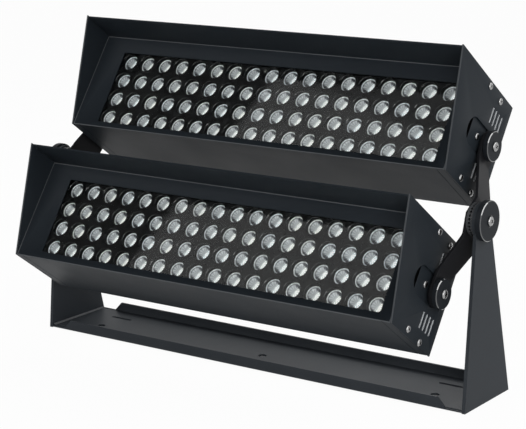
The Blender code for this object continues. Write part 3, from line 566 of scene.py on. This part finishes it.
screw_tree, recipe, given = shape_recipe(
    "screws", Geometry=("Places",), Object=("Head",), Int=("Seed",), Material=("Finish",),
    Float=("Head radius", "Shank radius", "Shank length", "Facing"))
head_size = given["Head radius"] * 1000.0
head = recipe.node("GeometryNodeTransform", {
    "Geometry": recipe.node("GeometryNodeObjectInfo", {"Object": given["Head"]}, "Geometry"),
    "Scale": recipe.node("ShaderNodeCombineXYZ", {axis: head_size for axis in "XYZ"})})
shank = recipe.node("GeometryNodeTransform", {
    "Geometry": recipe.node("GeometryNodeMeshCylinder", {
        "Vertices": 24, "Radius": given["Shank radius"], "Depth": given["Shank length"]}, "Mesh"),
    "Rotation": (0.0, math.pi / 2, 0.0),
    "Translation": recipe.node("ShaderNodeCombineXYZ", {"X": 0.05 - given["Shank length"] * 0.5})})
spin = recipe.node("FunctionNodeRandomValue", {"Min": 0.0, "Max": math.pi, "Seed": given["Seed"]}, 1,
                   data_type="FLOAT")
put = recipe.node("GeometryNodeInstanceOnPoints", {
    "Points": given["Places"], "Instance": join(recipe, head, shank),
    "Rotation": recipe.node("ShaderNodeCombineXYZ", {"X": spin, "Z": given["Facing"]})})
realized(recipe, put, given["Finish"])
cross = cross_head()


def screws(name, places, facing, radius, shank_radius, shank_length, seed, place=None):
    """Screws at the given places. They face +X for 1, -X for -1 and +Y for 0."""
    work = grown(name, screw_tree, {
        "Head": cross, "Head radius": radius, "Shank radius": shank_radius, "Shank length": shank_length,
        "Facing": math.radians(90 - 90 * facing), "Seed": seed, "Finish": screw_steel}, places)
    return piece(name, work, screw_steel, place)


HUB_SCREW = (6.5, 4.0, 34.6)       # head and shank radius, shank length
for word, side in SIDES:
    bolt = screws("hub_screw_" + word, [(side * (CAP_HIGH + 0.3), *HUB)], side, *HUB_SCREW, 3 + side)
    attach(bolt, "yoke")
    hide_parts("hub_bolt_" + word)


# Swing arms. Flat steel bars, 4 mm thick, folded twice in each leg so that the ends lie close to the heads
# and the middle lies out at the hub. Same powder coat as the yoke, given a darker colour here: painted shade.
ARM, PIVOT_X, HUB_X = 4.0, 322.2, 344.1
LEGS = {"upper": ((80.9, 80.8), 23.5, (15.0, 22.5), 27.0, (13.0, 44.0)),
        "lower": ((-49.9, -91.7), 26.0, (17.0, 26.0), 26.0, (14.0, 37.0))}
END_RADIUS, HUB_FRONT, HUB_REAR, FOLD_REACH = 20.0, 19.0, 40.0, 3.0


def leg_rows(pivot, end_flat, end_widths, hub_flat, hub_widths):
    """Rows across one leg, from its pivot to the hub: front point, rear point and the outer face's X."""
    run = Vector(pivot)
    length, along = run.length, -run.normalized()
    front = Vector((along.y, -along.x))
    if front.x > 0:
        front = -front
    rows = [(run + front * END_RADIUS, run - front * END_RADIUS, PIVOT_X)]
    start, end = end_flat, length - hub_flat
    slope = (HUB_X - PIVOT_X) / (end - start)
    around = [FOLD_REACH * step for step in (-1.0, -0.5, 0.0, 0.5, 1.0)]
    for spot in [start + a for a in around] + [(start + end) / 2] + [end + a for a in around]:
        share = min(max((spot - start) / (end - start), 0.0), 1.0)
        if abs(spot - start) <= FOLD_REACH:
            x = PIVOT_X + slope * (spot - start + FOLD_REACH) ** 2 / (4 * FOLD_REACH)
        elif abs(spot - end) <= FOLD_REACH:
            x = HUB_X - slope * (end - spot + FOLD_REACH) ** 2 / (4 * FOLD_REACH)
        else:
            x = PIVOT_X + slope * (spot - start)
        reach = max(1.0 - spot / start, 0.0)
        wide = [a + (b - a) * share for a, b in zip(end_widths, hub_widths)]
        wide = [w + (END_RADIUS - w) * reach for w in wide]
        middle = run + along * spot
        rows.append((middle + front * wide[0], middle - front * wide[1], x))
    return rows


def swing_arm(side):
    upper, lower = leg_rows(*LEGS["upper"]), leg_rows(*LEGS["lower"])
    span = (Vector(LEGS["upper"][0]) - Vector(LEGS["lower"][0])).normalized()
    front = Vector((-span.y, span.x))
    rows = upper + [(front * HUB_FRONT, -front * HUB_REAR, HUB_X)] + lower[::-1]
    work = bmesh.new()
    rims = []
    for inset in (0.0, ARM):
        points = [[work.verts.new((side * (x - inset), *spot)) for spot in (near, far)]
                  for near, far, x in rows]
        ends = []
        for (near, _, x), pivot in ((rows[0], LEGS["upper"][0]), (rows[-1], LEGS["lower"][0])):
            centre = Vector(pivot)
            start, outward = near - centre, centre.normalized() * END_RADIUS
            turns = [math.pi * k / 24 for k in range(1, 24)]
            ends.append([work.verts.new((side * (x - inset), *(
                centre + start * math.cos(turn) + outward * math.sin(turn)))) for turn in turns])
        work.faces.new([points[0][0]] + ends[0] + [points[0][1]])
        work.faces.new([points[-1][0]] + ends[1] + [points[-1][1]])
        for first, second in zip(points, points[1:]):
            work.faces.new((first[0], first[1], second[1], second[0]))
        rims.append([row[0] for row in points] + ends[1] + [row[1] for row in points[::-1]] + ends[0][::-1])
    wall(work, *rims)
    return work


# A darker copy of the yoke's coat: painted shade.
shaded_arm_coat = powder_coat("satin_black_arm_painted_shade", (0.0098, 0.0101, 0.0116), (0.0141, 0.0145, 0.0165),
                       0.46, 0.0011, 0.20)
for word, side in SIDES:
    arm = soft_edges(piece("arm_" + word, swing_arm(side), shaded_arm_coat, at_hub), 0.45)
    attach(arm, "arms")
    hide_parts("swing_arm_" + word)


# Front frames. Cast aluminium, with inner walls that slope in from the flat rim to the glass. A fine joint
# shows near each end of the underside, and a pocket in each end lies behind the side plate's window.
TILT = math.radians(35.4)
HEADS = {prefix: Matrix.Translation((0.0, y, z)) @ Matrix.Rotation(-TILT, 4, "X")
         for prefix, y, z in (("upper", 11.97, 364.67), ("lower", -118.83, 192.17))}
HEAD_HALF, HEAD_LOW, FRAME_FRONT = 312.9, -73.1, -20.8
head_coat = powder_coat("satin_black_head", (0.0148, 0.0188, 0.0232), (0.0215, 0.0265, 0.0320),
                        0.44, 0.0010, 0.16)


def from_cad(node):
    """A CAD piece as a bmesh in millimetres, with its triangles joined into faces."""
    work = bmesh.new()
    work.from_mesh(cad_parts[node].data)
    bmesh.ops.remove_doubles(work, verts=work.verts, dist=1e-6)
    bmesh.ops.dissolve_limit(work, angle_limit=math.radians(1.0), verts=work.verts, edges=work.edges)
    work.transform(TO_MILLIMETRES)
    return work


JOINT_X, JOINT_WIDTH, JOINT_DEPTH = 300.75, 0.6, 0.8
LOWER_LIP = 2.0            # how far the lip rises over the lowest row of lenses
SEAM = 11.35               # the frame's rear face, drawn up to the housing so that no light shows between
POCKET_DEPTH, POCKET_FRONT, POCKET_REAR, POCKET_LOW, POCKET_HIGH = 16.0, -4.0, 9.0, -23.0, 24.6
for prefix, place in HEADS.items():
    tools = []
    for side in (-1, 1):
        near, far = (side * JOINT_X + reach for reach in (-JOINT_WIDTH / 2, JOINT_WIDTH / 2))
        tools.append((block((near, -22.0, -74.0), (far, 12.0, HEAD_LOW + JOINT_DEPTH)), "DIFFERENCE"))
        near, far = sorted((side * (HEAD_HALF - POCKET_DEPTH), side * 314.0))
        tools.append((block((near, POCKET_FRONT, POCKET_LOW), (far, POCKET_REAR, POCKET_HIGH)),
                      "DIFFERENCE"))
    for tool, _ in tools:
        tool.transform(place)
    work = from_cad(prefix + "_front_frame")
    for vertex in work.verts:
        spot = place.inverted() @ vertex.co
        if spot.y > 11.0:
            vertex.co = place @ Vector((spot.x, SEAM, spot.z))
        elif -5.0 < spot.y < -3.0 and spot.z < -58.0 and abs(spot.x) < 286.0:
            vertex.co = place @ Vector((spot.x, spot.y, spot.z + LOWER_LIP))
    casting = piece(prefix + "_casting", work, head_coat)
    rim = piece(prefix + "_frame", carved(prefix + "_frame", casting, tools), head_coat)
    # The rim's forward face gets a little pale metal colour: a painted highlight along the front edge.
    mark(rim, "bare", place, lambda spot, facing: 0.16 * (facing.y < -0.95 and spot.y < -20.0))
    # The pocket's faces get a near-black colour: painted shade in the gap behind the window.
    mark(rim, "painted_pocket_shade", place, lambda spot, facing: 290.0 < abs(spot.x) < HEAD_HALF - 0.2
         and abs(spot.z) < 25.0 and POCKET_FRONT - 0.1 < spot.y < POCKET_REAR + 0.1)
    rim = soft_edges(rim, 0.5, place, lambda spot: spot.y > 5.0)
    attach(rim, prefix + "_head")
    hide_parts(prefix + "_front_frame")


# Front glass and its gasket. One flat pane of clear toughened glass, 3 mm thick, that the frame's lip holds
# from the front, and a black rubber strip round the lens mask from behind.
glass, recipe, shader = surface("clear_glass")
film = recipe.noise(recipe.node("ShaderNodeTexCoord", output="Object"), 9.0, 4.0)
recipe.feed(shader, {
    "Base Color": recipe.blend(film, (0.96, 0.98, 0.97), (0.99, 1.0, 0.995)),
    "Roughness": film.ease(0.35, 0.8) * 0.02 + 0.008, "Transmission Weight": 1.0, "IOR": 1.27})
rubber = powder_coat("black_rubber", (0.008, 0.008, 0.009), (0.016, 0.016, 0.017), 0.72, 0.0007, 0.3)
PANE_X, PANE_Z, PANE_THICKNESS = 290.0, 64.05, 3.0
for prefix, place in HEADS.items():
    pane = block((-PANE_X, -PANE_THICKNESS, -PANE_Z), (PANE_X, 0.0, PANE_Z))
    pane = soft_edges(piece(prefix + "_pane", pane, glass, place), 0.3)
    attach(pane, prefix + "_head")
    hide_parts(prefix + "_glass")
    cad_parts[prefix + "_gasket"].material_slots[0].material = rubber


# Lens mask. A moulded black plate with a well for each lens, which lies at the well's bottom. The wells'
# front edges are eased and catch the light as thin glints beside the lenses.
GRID = {"Columns": 18, "Rows": 4, "Pitch X": 32.0, "Pitch Z": 30.7}
MASK_WIDTH, MASK_HEIGHT, MASK_REAR, MASK_THICKNESS = 571.4, 119.5, 6.9, 6.6
WELL, WELL_CHAMFER = 12.4, 0.6
mask_tree, recipe, given = shape_recipe(
    "mask", Int=("Columns", "Rows"), Material=("Finish",),
    Float=("Pitch X", "Pitch Z", "Hole radius", "Width", "Height", "Thickness"))


def lens_grid(recipe, given):
    """The lens places, as a flat grid of points."""
    return recipe.node("GeometryNodeMeshGrid", {
        "Vertices X": given["Columns"], "Vertices Y": given["Rows"],
        "Size X": given["Pitch X"] * (given["Columns"] - 1),
        "Size Y": given["Pitch Z"] * (given["Rows"] - 1)}, "Mesh")


holes = recipe.node("GeometryNodeInstanceOnPoints", {
    "Points": lens_grid(recipe, given),
    "Instance": recipe.node("GeometryNodeCurvePrimitiveCircle", {
        "Resolution": 40, "Radius": given["Hole radius"]}, "Curve")})
outer = recipe.node("GeometryNodeCurvePrimitiveQuadrilateral", {
    "Width": given["Width"], "Height": given["Height"]}, "Curve")
sheet = recipe.node("GeometryNodeFillCurve", {0: join(
    recipe, recipe.node("GeometryNodeRealizeInstances", {"Geometry": holes}), outer)})
lifted = recipe.node("GeometryNodeExtrudeMesh", {
    "Mesh": sheet, "Offset": (0.0, 0.0, 1.0), "Offset Scale": given["Thickness"], "Individual": False},
    "Mesh", mode="FACES")
realized(recipe, join(recipe, lifted, sheet), given["Finish"])
mask_black = powder_coat("mask_black", (0.0045, 0.0048, 0.0052), (0.0070, 0.0073, 0.0077),
                         0.5, 0.0009, 0.15, 0.05)
towards_front = Matrix.Rotation(math.radians(90), 4, "X")
for prefix, place in HEADS.items():
    work = grown(prefix + "_mask", mask_tree, {
        **GRID, "Hole radius": WELL, "Width": MASK_WIDTH, "Height": MASK_HEIGHT, "Thickness": MASK_THICKNESS,
        "Finish": mask_black})
    bmesh.ops.remove_doubles(work, verts=work.verts, dist=1e-4)
    glints = work.faces.layers.float.new("polish")
    brinks = [edge for edge in work.edges if edge.calc_face_angle(0.0) > 1.0
              and all(end.co.z > MASK_THICKNESS - 0.01 for end in edge.verts)
              and abs(edge.verts[0].co.x) < MASK_WIDTH / 2 - 0.2
              and abs(edge.verts[0].co.y) < MASK_HEIGHT / 2 - 0.2]
    for face in bmesh.ops.bevel(work, geom=brinks, offset=WELL_CHAMFER, segments=1, affect="EDGES")["faces"]:
        face[glints] = 0.25
    mask = piece(prefix + "_mask", work, mask_black,
                 place @ Matrix.Translation((0.0, MASK_REAR, 0.0)) @ towards_front)
    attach(mask, prefix + "_head")
    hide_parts(prefix + "_lens_mask")


# Lenses. One moulded clear part for each LED: a pale rim and a fluted cone. A bright fan, a dark side, a dark
# ring inside the rim and a small bright ring over the LED are painted reflection, shade and highlight, and
# the lens has a painted glow. They sit in one carrier at the bottom of the mask's wells.
LENS, LENS_FRONT = 12.0, 6.6
CUP = ((2.5, 0.0), (2.5, LENS), (0.25, LENS), (0.0, 11.75), (0.0, 10.9), (0.4, 10.4), (1.7, 5.0),
       (1.9, 0.0))       # depth and radius
cup = piece("lens_cup", turned(CUP, 24, "Y"), mask_black)
spots = cup.data.uv_layers.new(name="spot")
for loop in cup.data.loops:
    spot = cup.data.vertices[loop.vertex_index].co * 1000.0 / (2 * LENS)
    spots.data[loop.index].uv = (spot.x + 0.5, spot.z + 0.5)

lens_tree, recipe, given = shape_recipe(
    "lenses", Int=("Columns", "Rows", "Seed"), Float=("Pitch X", "Pitch Z"),
    Object=("Cup",), Material=("Finish",))
standing = recipe.node("GeometryNodeTransform", {
    "Geometry": lens_grid(recipe, given), "Rotation": (math.pi / 2, 0.0, 0.0)})
put = recipe.node("GeometryNodeInstanceOnPoints", {
    "Points": standing, "Scale": (1000.0, 1000.0, 1000.0),
    "Instance": recipe.node("GeometryNodeObjectInfo", {"Object": given["Cup"]}, "Geometry")})
tint = recipe.node("FunctionNodeRandomValue", {"Seed": given["Seed"]}, 1, data_type="FLOAT")
tinted = recipe.node("GeometryNodeStoreNamedAttribute", {"Geometry": put, "Name": "tint", "Value": tint},
                     data_type="FLOAT", domain="INSTANCE")
realized(recipe, tinted, given["Finish"])

painted_lens, recipe, shader = surface("lens_painted_reflections")
across_lens = recipe.node("ShaderNodeVectorMath", {
    0: recipe.node("ShaderNodeUVMap", uv_map="spot"), 1: (0.5, 0.5, 0.0)}, operation="SUBTRACT")
parts = recipe.node("ShaderNodeSeparateXYZ", {0: across_lens})
side_u, side_v = parts, Wire(recipe, parts.socket.node.outputs[1])
reach = recipe.node("ShaderNodeVectorMath", {0: across_lens}, "Value", operation="LENGTH") * 2.0
angle = side_u.math("ARCTAN2", side_v, side_u)
flutes = angle.math("SINE", angle * 12.0) * 0.5 + 0.5
tint = recipe.share("tint")
LEAN = math.radians(-27.0)   # the lean of the painted reflection of the room's bright side
towards = (side_u * math.cos(LEAN) + side_v * math.sin(LEAN)) * 2.0
aside = (side_v * math.cos(LEAN) - side_u * math.sin(LEAN)) * 2.0
# The bright fan and the dark side are a painted reflection of the room, the same on every lens.
band = 1.0 - abs(aside + (tint - 0.5) * 0.12).ease(0.44, 0.66)
near = towards.ease(-0.15, 0.35)
pale = recipe.blend(tint, (0.84, 0.90, 0.93), (0.93, 0.94, 0.88))
grey = recipe.blend(flutes * 0.6 + tint * 0.3, (0.27, 0.30, 0.32), (0.45, 0.47, 0.48))
# Painted shade on the cone's side away from the fan.
shade = recipe.blend(towards.ease(-0.75, -0.25), grey, (0.045, 0.052, 0.060))
cone = recipe.blend(band, shade, recipe.blend(near * (0.75 + flutes * 0.25), grey, pale))
spot_u, spot_v = towards - 0.24, aside - 0.06
spot_reach = (spot_u * spot_u + spot_v * spot_v) ** 0.5
# A painted highlight: the small bright ring over the LED.
painted_ring_highlight = (1.0 - abs(spot_reach - 0.13).ease(0.02, 0.07)) * 0.8
cone = recipe.blend(painted_ring_highlight, cone, (0.95, 0.96, 0.95))
rim = reach.ease(0.85, 0.89)
# A painted dark ring just inside the rim: shade between rim and cone.
groove = (1.0 - abs(reach - 0.80).ease(0.03, 0.09)) * (1.0 - near * band * 0.75)
cone = recipe.blend(groove * 0.75, cone, (0.045, 0.052, 0.060))
shown = recipe.blend(rim, cone, recipe.blend(tint, (0.66, 0.71, 0.76), (0.76, 0.79, 0.77)))
recipe.feed(shader, {
    "Base Color": shown, "Roughness": flutes * 0.08 + 0.22,
    "Metallic": near * band * 0.35 * (1.0 - rim) + 0.08,
    "Emission Color": recipe.blend(near * band * (1.0 - rim) * 0.85 + 0.15, (0.0, 0.0, 0.0), shown),
    "Emission Strength": 0.50,       # a painted glow, standing in for what the cones gather from the room
    "Normal": recipe.node("ShaderNodeBump", {
        "Strength": 0.12, "Distance": 0.0003, "Height": flutes * (1.0 - rim)})})
for number, (prefix, place) in enumerate(HEADS.items()):
    work = grown(prefix + "_lenses", lens_tree, {
        **GRID, "Cup": cup, "Seed": 7 + number, "Finish": painted_lens})
    lenses = piece(prefix + "_lenses", work, painted_lens,
                   place @ Matrix.Translation((0.0, LENS_FRONT, 0.0)))
    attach(lenses, prefix + "_head")
    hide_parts(prefix + "_lens_array")
bpy.data.objects.remove(cup)


# Board, heat sink and driver. They are closed in by the housing: a white board that carries the LEDs,
# an extruded aluminium comb behind it and a bare driver case on the rear wall.
board_white = powder_coat("board_white", (0.60, 0.61, 0.58), (0.72, 0.73, 0.70), 0.45, 0.0015, 0.05)
bare = brushed_steel("bare_aluminium", (0.56, 0.57, 0.58), 0.38, 500.0)
for prefix in HEADS:
    for node, finish in (("_led_board", board_white), ("_heat_sink", bare), ("_driver_box", bare)):
        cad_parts[prefix + node].material_slots[0].material = finish


# Housing. A folded aluminium channel that closes top, rear and bottom between the two end caps, in the same
# powder coat as the frame.
for prefix, place in HEADS.items():
    shell = soft_edges(piece(prefix + "_shell", from_cad(prefix + "_housing"), head_coat), 0.5,
                       place, lambda spot: spot.y < 20.0)
    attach(shell, prefix + "_head")
    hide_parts(prefix + "_housing")


# Visor. A flat aluminium sheet over the glass, held between the two side plates. Its front edge is
# rounded and shines as a thin line.
VISOR_FRONT, VISOR_REAR, VISOR_LOW, VISOR_TOP = -75.8, 28.0, 76.1, 78.6
for prefix, place in HEADS.items():
    sheet = cut_sheet(oblong(HEAD_HALF, VISOR_FRONT, VISOR_REAR), VISOR_LOW, VISOR_TOP, 0.5)
    visor = piece(prefix + "_hood", sheet, head_coat, place)
    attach(visor, prefix + "_head")
    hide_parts(prefix + "_visor")


# Side plates. Aluminium sheet, 2.5 mm, that runs forward as a cheek beside the glass. Each has a
# round-ended window from the pivot forwards and two groups of four narrow vents.
PLATE_INNER, PLATE_OUTER, PLATE_FRONT, PLATE_REAR = 313.2, 315.7, -78.3, 97.6
WINDOW_Z, WINDOW_RADIUS, WINDOW_REAR, WINDOW_FRONT = 0.8, 20.0, 57.0, 17.0
VENTS, VENT_FIRST, VENT_PITCH, VENT_NEAR, VENT_FAR, VENT_RADIUS = 4, 48.0, 9.8, 29.5, 53.0, 1.5
window = long_hole((WINDOW_REAR, WINDOW_Z), (WINDOW_FRONT, WINDOW_Z), WINDOW_RADIUS, 0, 24)
vents = []
for direction in (1, -1):
    for k in range(VENTS):
        middle = VENT_FIRST + VENT_PITCH * k
        low, high = sorted(WINDOW_Z + direction * reach for reach in (VENT_NEAR, VENT_FAR))
        vents.append(long_hole((middle, high - VENT_RADIUS), (middle, low + VENT_RADIUS), VENT_RADIUS, 90, 8))
plate_outline = [(PLATE_FRONT, VISOR_TOP), (FRAME_FRONT, HEAD_LOW), (PLATE_REAR, HEAD_LOW),
                 (PLATE_REAR, VISOR_TOP)]
stand_up = Matrix(((0, 0, 1, 0), (1, 0, 0, 0), (0, 1, 0, 0), (0, 0, 0, 1)))


def painted_edge_highlights(spot, facing):
    """The test for painted highlights in pale metal: fully on the vents' lit walls and a little on the front
    edge.
    """
    in_vent = 45.0 < spot.y < 80.0 and VENT_NEAR - 0.5 < abs(spot.z - WINDOW_Z) < VENT_FAR + 1.0
    return 1.0 if in_vent and facing.y < -0.6 else 0.09 if facing.y < -0.5 and spot.y < -15.0 else 0.0


for prefix, place in HEADS.items():
    for word, side in SIDES:
        low, high = sorted((side * PLATE_INNER, side * PLATE_OUTER))
        sheet = cut_sheet(plate_outline, low, high, 0.35, [window] + vents)
        plate = piece(f"{prefix}_plate_{word}", sheet, head_coat, place @ stand_up)
        # Pale metal on the vents' lit walls and the plate's front edge: painted highlights.
        mark(plate, "bare", place, painted_edge_highlights)
        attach(plate, prefix + "_head")
        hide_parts(f"{prefix}_side_plate_{word}")


# End caps. Cast aluminium blocks that close the housing's ends and carry the pivot screws. They are seen
# through the window, as a surface a little further in.
for prefix, place in HEADS.items():
    for word, _ in SIDES:
        cap = piece(f"{prefix}_cap_{word}", from_cad(f"{prefix}_end_cap_{word}"), head_coat)
        cap = soft_edges(cap, 0.6, place, lambda spot: spot.y < 20.0)
        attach(cap, prefix + "_head")
        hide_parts(f"{prefix}_end_cap_{word}")


# Pivots. A steel boss stands on the end cap, the arm's end turns on it, and a turned black knob under a
# large stainless screw clamps the arm.
PIVOT = (57.0, 0.8)
KNOB_LOW, KNOB_HIGH, KNOB_RADIUS, PIVOT_BORE = 322.5, 330.2, 20.5, 3.4
BOSS_LOW, BOSS_HIGH, BOSS_RADIUS, PIVOT_SCREW = 313.2, 317.9, 14.0, (6.5, 3.0, 26.6)
for prefix, place in HEADS.items():
    at_pivot = place @ Matrix.Translation((0.0, *PIVOT))
    for word, side in SIDES:
        knob = clamp_disc(side, KNOB_LOW, KNOB_HIGH, KNOB_RADIUS, 0.8, (7.2, 6.9), 0.4, PIVOT_BORE)
        knob = piece(f"{prefix}_knob_disc_{word}", knob, cap_black, at_pivot)
        mark(knob, "polish", at_pivot, lambda spot, facing: 0.6 < side * facing.x < 0.8)
        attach(knob, prefix + "_head")
        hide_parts(f"{prefix}_knob_{word}")
        boss = collar(side, BOSS_LOW, BOSS_HIGH, BOSS_RADIUS, PIVOT_BORE, 0.4, 0.4, 48)
        boss = piece(f"{prefix}_boss_{word}", boss, tooth_steel, at_pivot)
        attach(boss, prefix + "_head")
        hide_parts(f"{prefix}_pivot_boss_{word}")
        screw = screws(f"{prefix}_pivot_bolt_{word}", [(side * (KNOB_HIGH + 0.3), 0.0, 0.0)], side,
                       *PIVOT_SCREW, 11 + side, at_pivot)
        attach(screw, prefix + "_head")
        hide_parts(f"{prefix}_pivot_screw_{word}")


# Small screws of each head, of the same stainless steel. Four hold a side plate at its corners and one,
# inside the window, sits on the end cap. One more at each end of the visor goes down into the end cap.
PLATE_SCREWS = ((21.0, 71.0), (59.0, 68.0), (22.0, -64.0), (60.0, -68.0))
WINDOW_SCREW, VISOR_SCREW, VISOR_SCREW_INSET = (33.0, 2.0), 20.0, 6.0
SMALL_SCREW, TINY_SCREW = (4.9, 2.0, 2.3), (3.6, 1.6, 2.0)
for number, (prefix, place) in enumerate(HEADS.items()):
    for word, side in SIDES:
        places = [(side * PLATE_OUTER, y, z) for y, z in PLATE_SCREWS] + [(side * HEAD_HALF, *WINDOW_SCREW)]
        row = screws(f"{prefix}_plate_screws_{word}", places, side, *SMALL_SCREW,
                     20 + 2 * number + side, place)
        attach(row, prefix + "_head")
        down = (place @ Matrix.Translation((side * (HEAD_HALF - VISOR_SCREW_INSET), VISOR_SCREW, VISOR_TOP))
                @ Matrix.Rotation(math.radians(-90), 4, "Y"))
        single = screws(f"{prefix}_visor_screw_{word}", [(0.0, 0.0, 0.0)], 1, *TINY_SCREW, 40 + number, down)
        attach(single, prefix + "_head")


# Rear cover. A flat aluminium plate, 2.2 mm thick, over the driver space. A row of small screws along each
# long edge holds it.
COVER_HALF, COVER_LOW, COVER_HIGH, COVER_INNER, COVER_OUTER = 260.0, -59.1, 61.8, 95.4, 97.6
for number, (prefix, place) in enumerate(HEADS.items()):
    sheet = cut_sheet(oblong(COVER_HALF, COVER_LOW, COVER_HIGH), -COVER_OUTER, -COVER_INNER, 0.4)
    cover = piece(prefix + "_back_plate", sheet, head_coat, place @ towards_front)
    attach(cover, prefix + "_head")
    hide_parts(prefix + "_rear_cover")
    places = [(x, COVER_OUTER, z) for x in (-250.0, -125.0, 0.0, 125.0, 250.0) for z in (-53.0, 55.5)]
    row = screws(prefix + "_cover_screws", places, 0, *TINY_SCREW, 30 + number, place)
    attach(row, prefix + "_head")


# Cable gland. Moulded black nylon, screwed through the rear wall: a hexagon, a ribbed dome nut and an open
# mouth.
nylon = powder_coat("black_nylon", (0.013, 0.013, 0.014), (0.021, 0.021, 0.022), 0.55, 0.0008, 0.1)
for prefix, place in HEADS.items():
    gland = soft_edges(piece(prefix + "_gland", from_cad(prefix + "_cable_gland"), nylon), 0.4)
    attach(gland, prefix + "_head")
    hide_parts(prefix + "_cable_gland")

bpy.data.objects.remove(cross)
